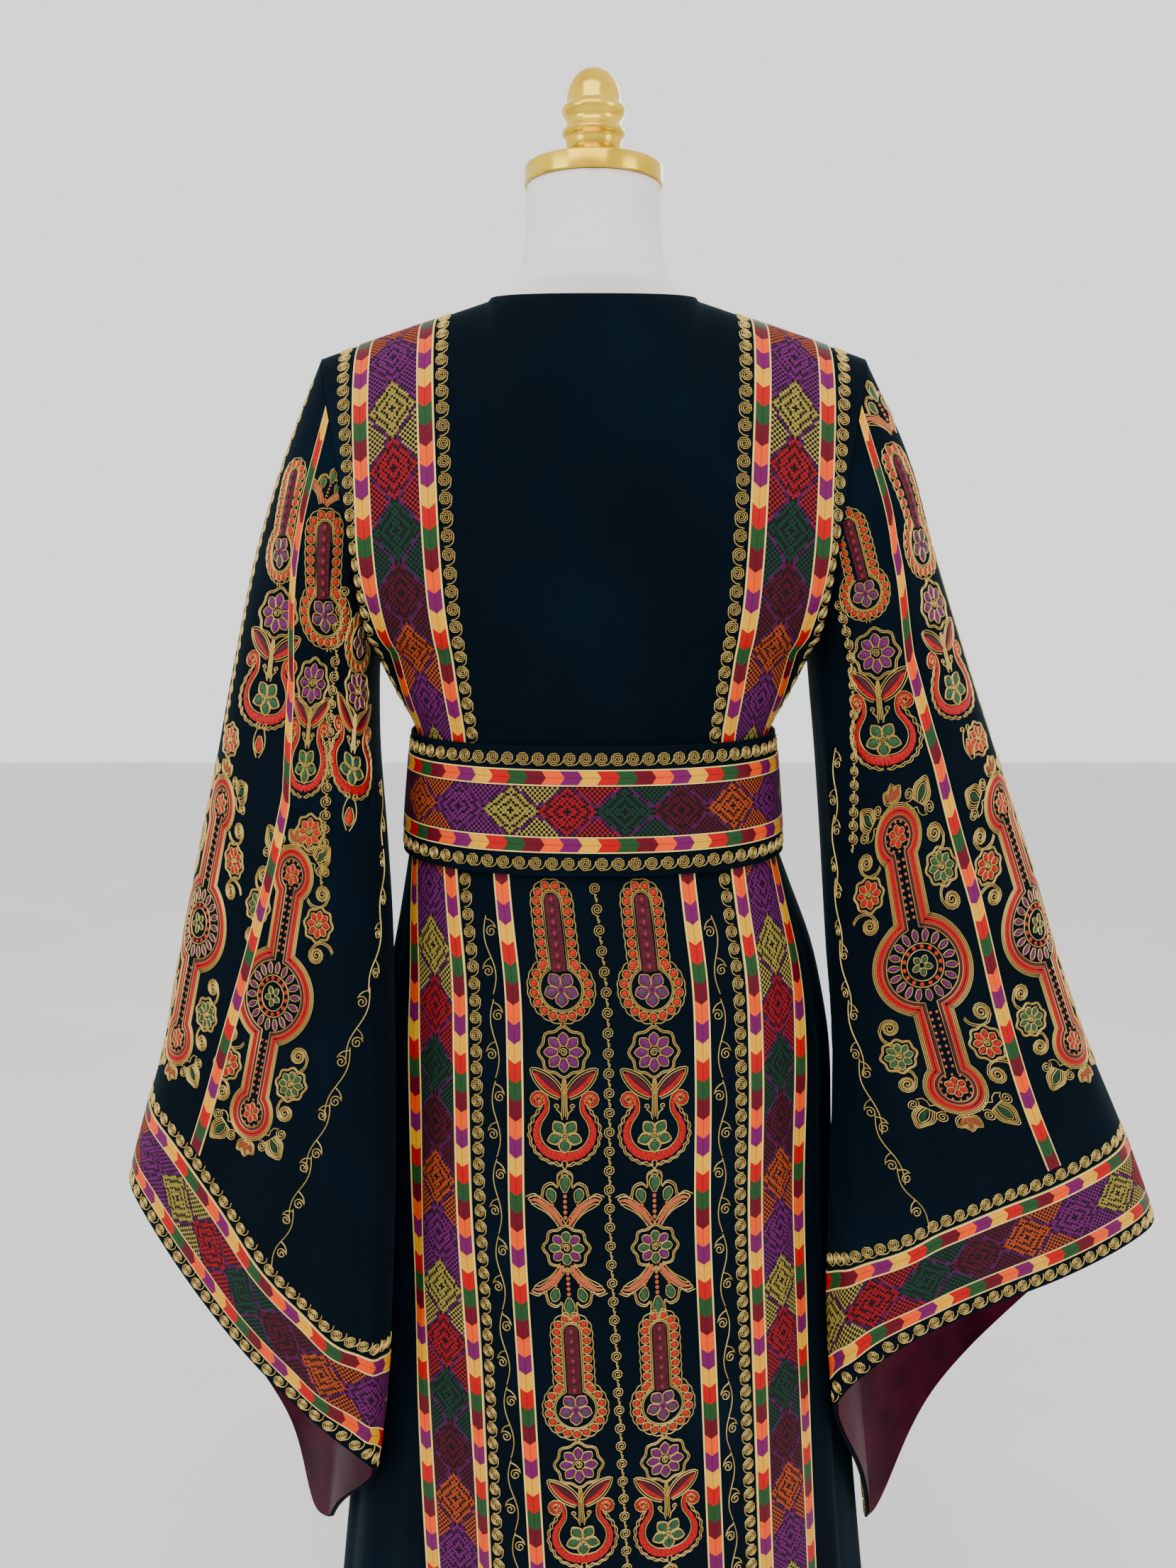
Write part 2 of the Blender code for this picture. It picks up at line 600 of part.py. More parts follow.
def clear_of_body(points, margin, hand):
    """Moves points out to the given margin from the bodice and skirt."""
    for p, room in zip(points, margin):
        if p[2] > CHEST_Z + 0.02:
            continue
        z = min(p[2], CHEST_Z)
        lift = room + FLUTE_DEPTH * max(0.0, (FLUTE_TOP_Z - z) / FLUTE_TOP_Z) ** 1.5
        half = section_value("half", z) + lift
        depth = section_value("back" if p[1] < 0 else "front", z) + lift
        centre = hand * section_value("centre", z)
        inside = (abs(p[0] - centre) / half) ** ROUNDNESS + (abs(p[1]) / depth) ** ROUNDNESS
        if 0 < inside < 1:
            grow = inside ** (-1 / ROUNDNESS)
            p[0] = centre + (p[0] - centre) * grow
            p[1] *= grow
    return points


def sleeve_fine(hand):
    """Fine grid of a sleeve from armhole to hem, in outward distances from the middle plane."""
    angle = 2 * np.pi * np.arange(FINE_AROUND) / FINE_AROUND
    guides = SLEEVE_LEFT if hand == LEFT else SLEEVE_RIGHT
    rings = [armhole_loop(angle)] + [sleeve_ring(g, angle) for g in guides]
    rings[0][:, 0] += SEAM_GAP
    first = 2 * rings[0] - rings[1]
    last = 2 * rings[-1] - rings[-2]
    chain = [first] + rings + [last]
    fine = []
    for k in range(1, len(chain) - 2):
        for step in range(FINE_STEPS):
            t = step / FINE_STEPS
            fine.append(0.5 * (2 * chain[k] + (chain[k + 1] - chain[k - 1]) * t
                               + (2 * chain[k - 1] - 5 * chain[k] + 4 * chain[k + 1] - chain[k + 2]) * t**2
                               + (3 * chain[k] - chain[k - 1] - 3 * chain[k + 1] + chain[k + 2]) * t**3))
    fine.append(rings[-1])
    fine = np.array(fine)
    down = np.linspace(0, 1, len(fine))
    for fold in SLEEVE_FOLDS:
        apart = (np.degrees(angle) - fold.angle + 180) % 360 - 180
        bump = np.exp(-(apart / fold.width) ** 2)
        centre = fine.mean(axis=1, keepdims=True)
        out = fine - centre
        out /= np.linalg.norm(out, axis=2, keepdims=True)
        fine += out * (fold.depth * down**1.2)[:, None, None] * bump[None, :, None]
    for v in range(1, len(fine)):
        reach = np.linalg.norm(fine[v] - fine[0], axis=1)
        clear_of_body(fine[v], np.minimum(9 * MM, 0.10 * reach + 1 * MM), hand)
    return fine


def distance_to_hem(fine):
    """Shortest distance from each fine point to the hem close to it."""
    hem = fine[-1]
    span = FINE_AROUND // 5
    far = np.empty(fine.shape[:2])
    for j in range(FINE_AROUND):
        near = hem[[(j + k) % FINE_AROUND for k in range(-span, span + 1)]]
        start = near[:-1]
        edge = near[1:] - start
        for v in range(len(fine)):
            t = np.clip(((fine[v, j] - start) * edge).sum(1) / (edge**2).sum(1), 0, 1)
            far[v, j] = np.linalg.norm(start + edge * t[:, None] - fine[v, j], axis=1).min()
    return far


def sleeve_rows(fine, heights, upper_rows):
    """Rows of the sleeve from hem to armhole: first at the given heights, then in even shares."""
    far = distance_to_hem(fine)
    rows = np.empty((len(heights) + upper_rows, FINE_AROUND, 3))
    for j in range(FINE_AROUND):
        path = fine[::-1, j]
        rise = far[::-1, j]
        reach = np.concatenate([[0], np.cumsum(np.linalg.norm(np.diff(path, axis=0), axis=1))])
        low = np.interp(heights, np.maximum.accumulate(rise), reach)
        high = low[-1] + (reach[-1] - low[-1]) * np.arange(1, upper_rows + 1) / max(upper_rows, 1)
        rows[:, j] = along(path, np.concatenate([low, high]))
    return rows


def sleeve_grid(rows, stripe):
    """Columns round the sleeve, with the edges of the back and front chevron tapes among them."""
    grid = []
    half = FINE_AROUND // 2
    for r, row in enumerate(rows):
        closed = np.concatenate([row, row[:1]])
        back = closed[:half + 1]
        front = closed[:half - 1:-1]
        halves = []
        for line in (back, front):
            whole = length(line)
            low = stripe[r] - SLEEVE_TAPE_WIDTH / 2
            high = stripe[r] + SLEEVE_TAPE_WIDTH / 2
            rest = SLEEVE_COLUMNS_PER_SIDE - 4
            marks = ([0, low / 3, 2 * low / 3, low, high]
                     + [high + (whole - high) * k / rest for k in range(1, rest + 1)])
            halves.append(along(line, marks))
        grid.append(np.concatenate([halves[0], halves[1][-2:0:-1]]))
    return np.array(grid)


def build_sleeve(hand, label, paint):
    """Sleeve with its cuff trim and tapes, and the satin lining inside its lower part."""
    heights = [0.0, CUFF_TAPE_LOWER[0], CUFF_TAPE_LOWER[1], CUFF_BAND[1], CUFF_TAPE_UPPER[1], CUFF_TOP]
    rows = sleeve_rows(sleeve_fine(hand), heights, SLEEVE_UPPER_ROWS)
    upper = 1 - np.arange(1, SLEEVE_UPPER_ROWS + 1) / SLEEVE_UPPER_ROWS
    share = np.concatenate([np.ones(len(heights)), upper])
    stripe = np.interp(share, column(SLEEVE_STRIPE, "share"), column(SLEEVE_STRIPE, label))
    grid = sleeve_grid(rows, stripe) * np.array([hand, 1.0, 1.0])
    if hand == RIGHT:
        grid = grid[:, ::-1]
    normals = grid_normals(grid, True)
    armhole = normals[-1].copy()
    armhole[:, 0] = hand * np.minimum(hand * armhole[:, 0], 0)
    normals[-1] = unit(armhole)
    add_panel(f"sleeve_{label}", grid, normals, VELVET, paint["velvet"], wrap=True)
    strips = (("tape_lower", 1, "tape"), ("band", 2, "cross_stitch"), ("tape_upper", 3, "tape"))
    for name, row, kind in strips:
        low, high = grid[row], grid[row + 1]
        inset = SEAM_GAP / np.linalg.norm(high - low, axis=1, keepdims=True)
        points = np.array([low + (high - low) * inset, high + (low - high) * inset])
        add_strip(f"cuff_{name}_{label}", points, normals[row:row + 2], (0, 1), None, paint[kind], wrap=True)
    top = len(heights) - 1
    last = grid.shape[1] - 1
    for face, cols in (("back", (3, 4)), ("front", (last - 3, last - 2))):
        if hand == RIGHT:
            cols = (last - cols[1], last - cols[0])
        add_strip(f"sleeve_tape_{face}_{label}", grid, normals, (top, len(grid) - 1), cols, paint["tape"])
    add_lining(f"sleeve_lining_{label}", grid, normals, paint)


def add_lining(name, grid, normals, paint):
    """Satin tube inside the lower sleeve, a little short of the velvet's edge."""
    points = grid[LINING_ROWS].copy()
    inwards = normals[LINING_ROWS]
    rise = np.linalg.norm(grid[1] - grid[0], axis=1, keepdims=True)
    points[0] += (grid[1] - grid[0]) * LINING_INSET / rise
    outside = points - inwards * (VELVET + LINING_GAP)
    add_wall(name, outside, outside - inwards * SATIN, paint["satin"], wrap=True)


def form_low_point(z, across, side, inset):
    half = float(section_value("half", z)) - inset
    depth = float(section_value("back" if side == BACK else "front", z)) - inset
    y = depth * (1 - across**ROUNDNESS) ** (1 / ROUNDNESS)
    return np.array([half * across, side * max(y, SIDE_FLAT), z])


def form_high_point(across, share, side, inset):
    return upper_body(across * (chest_width(share) - inset), share, side, inset)


def form_half_rings():
    """Half sections of the torso, each a back and a front row from the middle to the side."""
    pairs = []
    for row in FORM_LOW:
        pairs.append([[form_low_point(row.z, a, side, row.inset) for a in FORM_ACROSS]
                      for side in (BACK, FRONT)])
    for share in high_shares():
        inset = float(np.interp(share, column(FORM_HIGH, "share"), column(FORM_HIGH, "inset")))
        ease = NECK_EASE * share**4
        pairs.append([[form_high_point(a, share, side, inset + (ease if a < NECK_EASE_TO else 0.0))
                       for a in FORM_ACROSS] for side in (BACK, FRONT)])
    return pairs


def build_torso(paint):
    """Torso lofted from its half sections. At the top the back and front rows meet on the shoulders,
    and the loop left open in the middle goes on up as the neck."""
    pairs = form_half_rings()
    count = len(FORM_ACROSS)
    neck_at = FORM_ACROSS.index(FORM_NECK_PART)
    vertices = []
    index = []

    def put(point):
        vertices.append(tuple(point))
        return len(vertices) - 1

    mirror = np.array([-1.0, 1.0, 1.0])
    for k, (back, front) in enumerate(pairs):
        rows = {}
        top = k == len(pairs) - 1
        for hand in (RIGHT, LEFT):
            flip = 1.0 if hand == RIGHT else mirror
            for face, row in ((BACK, back), (FRONT, front)):
                ids = []
                for i, point in enumerate(row):
                    if i == 0 and hand == LEFT:
                        ids.append(rows[(RIGHT, face)][0])
                    elif top and face == FRONT and i >= neck_at:
                        ids.append(rows[(hand, BACK)][i])
                    else:
                        ids.append(put(point * flip))
                rows[(hand, face)] = ids
        loop = (rows[(RIGHT, BACK)] + rows[(RIGHT, FRONT)][::-1]
                + rows[(LEFT, FRONT)][1:] + rows[(LEFT, BACK)][:0:-1])
        index.append(loop)
    faces = [tuple(reversed(index[0]))]
    for low, high in zip(index[:-1], index[1:]):
        for i in range(len(low)):
            n = (i + 1) % len(low)
            corners = [low[i], low[n], high[n], high[i]]
            faces.append(tuple(dict.fromkeys(corners)))
    top = index[-1]
    neck = top[:neck_at + 1] + top[2 * count - neck_at:2 * count]
    neck += top[2 * count:2 * count + neck_at] + top[len(top) - neck_at:]
    below = neck
    start = np.array([vertices[i] for i in neck])
    turns = np.arctan2(start[:, 0], -(start[:, 1]))
    for level in NECK:
        above = [put((level.half * math.sin(t), level.centre_y - level.depth * math.cos(t), level.z))
                 for t in turns]
        for i in range(len(neck)):
            n = (i + 1) % len(neck)
            faces.append((below[i], below[n], above[n], above[i]))
        below = above
    faces.append(tuple(below))
    add_object("form_torso", vertices, faces, paint["linen"])


def build_stand(paint):
    """Gold cap and finial above the neck, pole and round base below the torso."""
    lathe("neck_cap", CAP_PROFILE, paint["gold"], NECK_AXIS_Y)
    lathe("finial", FINIAL_PROFILE, paint["gold"], NECK_AXIS_Y, 16)
    low = BASE_TOP_Z + SEAM_GAP
    high = FORM_BOTTOM_Z - SEAM_GAP
    pole = [(0, low), (POLE_RADIUS, low), (POLE_RADIUS, high), (0, high)]
    lathe("stand_pole", pole, paint["gold"], 0.0, 16)
    lathe("stand_base", BASE_PROFILE, paint["gold"])


def main():
    for thing in list(bpy.data.objects):
        bpy.data.objects.remove(thing, do_unlink=True)
    paint = {
        "velvet": make_material("velvet", (0.004, 0.006, 0.009), 0.85),
        "satin": make_material("satin", (0.07, 0.005, 0.02), 0.35),
        "tape": make_material("tape", (0.65, 0.45, 0.09), 0.55),
        "cross_stitch": make_material("cross_stitch", (0.12, 0.02, 0.06), 0.8),
        "linen": make_material("linen", (0.62, 0.61, 0.58), 0.85),
        "gold": make_material("gold", (0.85, 0.62, 0.18), 0.12, 1.0),
    }
    build_torso(paint)
    build_stand(paint)
    build_bodice(BACK, "back", paint)
    build_bodice(FRONT, "front", paint)
    build_skirt(paint)
    build_belt(paint)
    build_sleeve(LEFT, "left", paint)
    build_sleeve(RIGHT, "right", paint)


main()
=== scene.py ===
"""Black velvet thobe dress with gold cord and bright stitching, worn by a limbless dress form.

Metres, +Z up. The photographed back of the dress faces -Y and the wearer's right hand is at +X.
Every velvet piece is a thin shell over its solid's form. Its creases are given one by one, and the
tapes, bands, cord and satin stitch are laid on the creased surface in real distances.
"""

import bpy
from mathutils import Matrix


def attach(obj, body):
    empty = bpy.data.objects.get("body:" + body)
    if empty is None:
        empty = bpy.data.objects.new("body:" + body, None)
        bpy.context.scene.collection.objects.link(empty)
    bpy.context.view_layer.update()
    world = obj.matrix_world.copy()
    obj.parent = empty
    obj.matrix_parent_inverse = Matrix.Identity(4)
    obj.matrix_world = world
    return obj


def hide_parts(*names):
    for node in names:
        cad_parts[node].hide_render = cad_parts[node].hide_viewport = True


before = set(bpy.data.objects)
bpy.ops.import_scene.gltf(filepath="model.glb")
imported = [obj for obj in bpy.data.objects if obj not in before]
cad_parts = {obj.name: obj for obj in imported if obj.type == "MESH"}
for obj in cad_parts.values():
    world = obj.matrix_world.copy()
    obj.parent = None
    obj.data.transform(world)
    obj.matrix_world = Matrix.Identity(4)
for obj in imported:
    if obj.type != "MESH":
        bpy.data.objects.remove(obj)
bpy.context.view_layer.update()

import math
from collections import namedtuple

import bmesh
import bpy
import numpy as np
from mathutils import Vector

MM = 0.001

# Cloth and trim, as in the solids
VELVET = 2.0 * MM
SATIN = 1.0 * MM
SEAM_GAP = 0.3 * MM
TAPE_THICK = 0.8 * MM
HEM_Z = 0.030
WAIST_SEAM_Z = 1.053
BELT_BOTTOM_Z = 1.007
BELT_TOP_Z = 1.098
CHEST_Z = 1.160
SHOULDER_TIP_Z = 1.370
NECK_POINT_Z = 1.409
CHEST_HALF = 0.167
SHOULDER_HALF = 0.196
NECK_HALF = 0.075
ARMHOLE_DEPTH = 0.080
ROUNDNESS = 2.3
OVER_SHOULDER = 2.6

LEFT = -1
RIGHT = 1
BACK = -1
FRONT = 1

# Root of the neck on each face: how far out and how high, and how high the neckline is cut
NECK_ROOT = {BACK: (0.050, 1.412, 1.404), FRONT: (0.048, 1.385, 1.335)}
SIDE_NAME = {BACK: "back", FRONT: "front"}


class Table:
    """Columns of numbers by name, from rows."""

    def __init__(self, names, *rows):
        for name, column in zip(names.split(), zip(*rows)):
            setattr(self, name, np.array(column, float))


# Horizontal sections of the dress below the armpit
SECTIONS = Table(
    "z half back front centre turn",
    (HEM_Z, 0.262, 0.192, 0.200, 0.006, 0.040),
    (0.200, 0.244, 0.182, 0.184, 0.006, 0.034),
    (0.360, 0.225, 0.172, 0.170, 0.006, 0.026),
    (0.500, 0.209, 0.163, 0.157, 0.007, 0.018),
    (0.640, 0.194, 0.154, 0.145, 0.008, 0.010),
    (0.760, 0.184, 0.146, 0.134, 0.008, 0.004),
    (0.870, 0.177, 0.136, 0.126, 0.009, 0.002),
    (0.930, 0.165, 0.125, 0.119, 0.008, 0.001),
    (0.980, 0.151, 0.112, 0.109, 0.003, 0.000),
    (1.010, 0.143, 0.102, 0.103, 0.000, 0.000),
    (WAIST_SEAM_Z, 0.136, 0.096, 0.097, 0.000, 0.000),
    (1.100, 0.136, 0.092, 0.096, 0.000, 0.000),
    (1.130, 0.152, 0.097, 0.107, 0.000, 0.000),
    (CHEST_Z, 0.167, 0.100, 0.117, 0.000, 0.000),)
DEPTHS = Table("share back front", (0.00, 0.100, 0.117), (0.20, 0.103, 0.121), (0.45, 0.104, 0.113),
               (0.75, 0.101, 0.100), (1.00, 0.095, 0.088))
BODICE_TRIM = Table("z x", (WAIST_SEAM_Z, 0.086), (1.104, 0.087), (1.149, 0.092), (1.198, 0.097),
                    (1.238, 0.099), (1.315, 0.102), (1.400, 0.106))
BODICE_TRIMS = {"tape_inner": (5.5 * MM, 17.5 * MM), "band": (17.5 * MM, 52.5 * MM),
                "tape_outer": (52.5 * MM, 64.5 * MM)}
SKIRT_TRIMS = {"tape_mid": (103 * MM, 115.5 * MM), "band": (115.5 * MM, 148.5 * MM),
               "tape_edge": (148.5 * MM, 161 * MM), "tape_centre": (61 * MM, 73 * MM)}
SKIRT_PANEL_HALF = 164 * MM

# Soft flutes of the skirt, and the creases that hang between them: where round the body in degrees
# from the middle of the back, how far that wanders down to the hem, top and bottom, width in degrees
# and depth in millimetres
FLUTES = [(7, 0.6, 0.9), (11, 0.4, 2.1)]
FLUTE_TOP_Z = 0.900
FLUTE_DEPTH = 9.0 * MM
SKIRT_CREASES = [
    (12, 5, 0.93, 0.10, 4.2, -2.2), (23, -4, 0.80, 0.02, 3.6, 2.4),
    (-15, -6, 0.95, 0.16, 4.4, 2.0), (-27, 3, 0.86, 0.02, 3.8, -2.6),
    (47, 6, 0.99, 0.02, 4.6, -3.4), (58, 2, 0.94, 0.02, 4.0, 3.0),
    (69, -5, 0.99, 0.02, 5.2, -3.6), (81, 4, 0.90, 0.02, 4.4, 3.4),
    (-46, -5, 0.99, 0.02, 4.4, -3.2), (-60, 4, 0.92, 0.02, 4.8, 3.2),
    (-72, 3, 0.99, 0.02, 4.2, -3.6), (-84, -4, 0.95, 0.02, 5.0, 3.0),
    (97, 3, 0.98, 0.02, 5.0, -3.4), (112, -6, 0.90, 0.02, 4.6, 3.2),
    (128, 5, 0.99, 0.02, 4.2, -3.0), (-98, 5, 0.97, 0.02, 4.4, -3.6),
    (-110, -3, 0.88, 0.02, 5.2, 3.0), (-131, 4, 0.99, 0.02, 4.0, -2.8),
    (148, -4, 0.90, 0.08, 4.8, 2.6), (163, 4, 0.80, 0.02, 3.8, -2.4),
    (-147, 5, 0.86, 0.02, 4.4, 2.4), (-166, -3, 0.94, 0.12, 4.2, -2.2),
]


def hermite(knots, values, at):
    """Smooth curve through the knots, with slopes from the neighbours on both sides."""
    slopes = np.gradient(values, knots)
    at = np.clip(np.asarray(at, float), knots[0], knots[-1])
    i = np.clip(np.searchsorted(knots, at) - 1, 0, len(knots) - 2)
    step = knots[i + 1] - knots[i]
    t = (at - knots[i]) / step
    return ((2 * t**3 - 3 * t**2 + 1) * values[i] + (t**3 - 2 * t**2 + t) * step * slopes[i]
            + (3 * t**2 - 2 * t**3) * values[i + 1] + (t**3 - t**2) * step * slopes[i + 1])


def section_value(name, z):
    return hermite(SECTIONS.z, getattr(SECTIONS, name), z)


def unit(vectors):
    return vectors / np.maximum(np.linalg.norm(vectors, axis=-1, keepdims=True), 1e-12)


def reach_along(points):
    """Distance of each point along its polyline."""
    return np.concatenate([[0.0], np.cumsum(np.linalg.norm(np.diff(points, axis=0), axis=1))])


def along(points, distances):
    """Points at the given distances along a polyline."""
    reach = reach_along(points)
    return np.stack([np.interp(distances, reach, points[:, k]) for k in range(points.shape[1])], axis=1)


def length(points):
    return float(reach_along(points)[-1])


def bump(apart, width):
    """Height of a rounded fold at a distance in degrees round the body from its middle."""
    return np.exp(-(((apart + 180) % 360 - 180) / width) ** 2)


def flute_lift(angle, z):
    grow = np.clip((FLUTE_TOP_Z - z) / (FLUTE_TOP_Z - HEM_Z), 0, 1) ** 1.5
    wave = sum(share * np.cos(waves * angle + phase) for waves, share, phase in FLUTES)
    return FLUTE_DEPTH * grow * wave


def crease_lift(angle, z):
    """Listed creases of the skirt, each fading in below its top and out above its bottom."""
    lift = np.zeros_like(angle)
    for place, wander, top, bottom, width, depth in SKIRT_CREASES:
        fade_in = np.clip((top - z) / 0.16, 0, 1)
        fade_out = np.clip((z - bottom) / 0.12, 0, 1) if bottom > HEM_Z else 1.0
        centre = place + wander * np.clip((top - z) / top, 0, 1)
        lift += depth * MM * fade_in * fade_out * bump(np.degrees(angle) - centre, width)
    return lift


def ring(z, lift=0.0, samples=720):
    """Closed section of the dress at one height, from the middle of the back towards +X."""
    half = section_value("half", z) + lift
    back = section_value("back", z) + lift
    front = section_value("front", z) + lift
    angle = np.linspace(0, 2 * np.pi, samples + 1)
    power = 2 / ROUNDNESS
    sin = np.sin(angle)
    cos = np.cos(angle)
    x = np.sign(sin) * np.abs(sin) ** power * half
    y = -np.sign(cos) * np.abs(cos) ** power * np.where(cos > 0, back, front)
    swell = 1 + (flute_lift(angle, z) + crease_lift(angle, z)) / np.hypot(x, y)
    return np.stack([x * swell + section_value("centre", z), y * swell, np.full_like(x, z)], axis=1)


def grid_normals(grid, wrap=False):
    """Unit normals of a grid whose rows go up and whose columns go towards +X on the back."""
    if wrap:
        across = np.roll(grid, -1, axis=1) - np.roll(grid, 1, axis=1)
    else:
        across = np.gradient(grid, axis=1)
    return unit(np.cross(across, np.gradient(grid, axis=0)))


class Surface:
    """Creased cloth as a grid: rows go up, columns go towards +X on the back. Across and up give the
    columns' and rows' distances, so that trim and motifs are laid on it in real sizes."""

    def __init__(self, points, across, up, normals=None):
        self.points = points
        self.across = np.asarray(across)
        self.up = np.asarray(up)
        self.normals = grid_normals(points) if normals is None else normals

    def at(self, across, up):
        """Points and normals at the given distances."""
        c = np.interp(across, self.across, np.arange(len(self.across)))
        r = np.interp(up, self.up, np.arange(len(self.up)))
        c0 = np.minimum(c.astype(int), len(self.across) - 2)
        r0 = np.minimum(r.astype(int), len(self.up) - 2)
        fc = (c - c0)[..., None]
        fr = (r - r0)[..., None]
        found = []
        for grid in (self.points, self.normals):
            low = grid[r0, c0] * (1 - fc) + grid[r0, c0 + 1] * fc
            high = grid[r0 + 1, c0] * (1 - fc) + grid[r0 + 1, c0 + 1] * fc
            found.append(low * (1 - fr) + high * fr)
        return found[0], unit(found[1])

    def lie(self, across, up):
        """How the cloth lies at a place: metres to a unit across, the rows' lean, metres to a unit up."""
        reach = 4 * MM
        across = np.clip(across, self.across[0] + reach, self.across[-1] - reach)
        up = np.clip(up, self.up[0] + reach, self.up[-1] - reach)
        ends = self.at(across + reach * np.array([-1, 1, 0, 0]), up + reach * np.array([0, 0, -1, 1]))[0]
        sideways = (ends[1] - ends[0]) / (2 * reach)
        upwards = (ends[3] - ends[2]) / (2 * reach)
        tall = np.linalg.norm(upwards)
        lean = sideways @ upwards / tall
        return np.linalg.norm(sideways - lean * upwards / tall), lean, tall


def steps(low, high, step):
    """Even positions from low to high, about a step apart."""
    return np.linspace(low, high, max(2, int(round(abs(high - low) / step)) + 1))


def around_at(z, positions, share):
    """Skirt points at distances round from the middle of the back, or from the share of the ring."""
    loop = ring(z)
    around = length(loop)
    twice = np.concatenate([loop[:-1], loop])
    return along(twice, positions(around) + share * around + float(section_value("turn", z)) + around)


def skirt_surface(share, reach, step=5 * MM, row_step=11 * MM):
    """Back (share 0) or front (share 0.5) of the skirt, with columns at fixed distances."""
    across = steps(-reach, reach, step)
    heights = steps(HEM_Z, WAIST_SEAM_Z - SEAM_GAP / 2, row_step)
    points = np.array([around_at(z, lambda around: across, share) for z in heights])
    return Surface(points, across, heights)


# Drag folds of the bodice: the ends of a straight line across and up, its width and its depth in
# millimetres. Each fold lies on both halves of the panel, a little apart
BODICE_DRAGS = {
    BACK: [
        (0.020, 1.110, 0.012, 1.215, 7, -1.4), (-0.034, 1.105, -0.024, 1.190, 8, 1.5),
        (0.052, 1.100, 0.066, 1.185, 7, -1.3), (-0.060, 1.102, -0.072, 1.200, 8, -1.4),
        (0.150, 1.190, 0.176, 1.285, 5, 2.0), (-0.152, 1.185, -0.176, 1.290, 5, 2.0),
        (0.138, 1.130, 0.160, 1.205, 5, -1.6), (-0.140, 1.126, -0.160, 1.210, 5, -1.6),
        (-0.012, 1.345, 0.018, 1.372, 9, -1.2), (0.040, 1.330, 0.062, 1.375, 9, 1.2),
    ],
    FRONT: [
        (0.030, 1.105, 0.060, 1.180, 8, -1.5), (-0.026, 1.108, -0.052, 1.175, 8, -1.4),
        (0.080, 1.110, 0.100, 1.190, 7, 1.6), (-0.078, 1.108, -0.102, 1.185, 7, 1.5),
        (0.148, 1.180, 0.176, 1.280, 5, 2.0), (-0.150, 1.188, -0.175, 1.275, 5, 2.0),
        (0.004, 1.130, -0.006, 1.200, 9, 1.2),
    ],
}


def upper_body(x, share, side, inset=0.0):
    """Point of the upper body: x across, share of the height from armpit to shoulder, back or front."""
    width = chest_width(share) - inset
    across = min(abs(x) / width, 1.0)
    depth = float(hermite(DEPTHS.share, getattr(DEPTHS, SIDE_NAME[side]), share)) - inset
    arm = (ARMHOLE_DEPTH - inset) * math.sqrt(1 - (1 - min(share / 0.45, 1)) ** 2)
    wall = arm + (depth - arm) * (1 - across**ROUNDNESS) ** (1 / ROUNDNESS)
    root, root_z, _ = NECK_ROOT[side]
    top_x = across * (SHOULDER_HALF - inset)
    neck = math.sqrt(max(0.0, 1 - (top_x / NECK_HALF) ** 2))
    slope = max(0.0, top_x - NECK_HALF) / (SHOULDER_HALF - NECK_HALF)
    top_z = NECK_POINT_Z + (root_z - NECK_POINT_Z) * neck - (NECK_POINT_Z - SHOULDER_TIP_Z) * slope - inset
    top_y = (root - inset) * neck
    over = (1 - share**OVER_SHOULDER) ** (1 / OVER_SHOULDER)
    y = side * (top_y + (wall - top_y) * over)
    return np.array([x, y, CHEST_Z + (top_z - CHEST_Z) * share])


def chest_width(share):
    return CHEST_HALF + (SHOULDER_HALF - CHEST_HALF) * share**2.1


def neckline_share(x, side):
    """Share of the height where the cloth ends: the neckline in the middle, 1 over the shoulder."""
    if abs(x) >= NECK_HALF * 0.999:
        return 1.0
    _, root_z, low = NECK_ROOT[side]
    neck = math.sqrt(1 - (x / NECK_HALF) ** 2)
    edge_z = NECK_POINT_Z + (low - NECK_POINT_Z) * neck
    top_z = NECK_POINT_Z + (root_z - NECK_POINT_Z) * neck
    return (edge_z - CHEST_Z) / (top_z - CHEST_Z)


# Columns of half a bodice panel: shares of the way from the middle to the inner gold trim, then
# distances beyond that trim, then shares of what is left to the side seam or armhole
CENTRE_SHARES = list(np.linspace(0, 0.64, 9)) + [0.68, 0.71, 0.78, 0.85, 0.92, 1.0]
BEYOND_TRIM = [edge * MM for edge in (2.75, 5.5, 8.5, 11.5, 14.5, 17.5, 23, 29, 35, 41, 47, 52.5, 55.5, 58.5,
                                      61.5, 64.5)]
SIDE_SHARES = [0.2, 0.4, 0.6, 0.8, 1.0]
CENTRE_REACH = 0.1
SIDE_REACH = 0.02


def bodice_row(fine, z, share, side):
    """One row of half a bodice panel, from the centre line to the side or armhole."""
    trim_x = float(np.interp(z, BODICE_TRIM.z, BODICE_TRIM.x))
    reach = reach_along(fine)
    row = []
    for part in CENTRE_SHARES:
        if share is None:
            row.append(along(fine, [np.interp(part * trim_x, fine[:, 0], reach)])[0])
        else:
            end = neckline_share(part * BODICE_TRIM.x[-1], side)
            row.append(upper_body(part * trim_x, share * end, side))
    base = float(np.interp(trim_x, fine[:, 0], reach))
    outer = [base + edge for edge in BEYOND_TRIM]
    outer += [outer[-1] + (reach[-1] - outer[-1]) * s for s in SIDE_SHARES]
    row.extend(along(fine, outer))
    return row


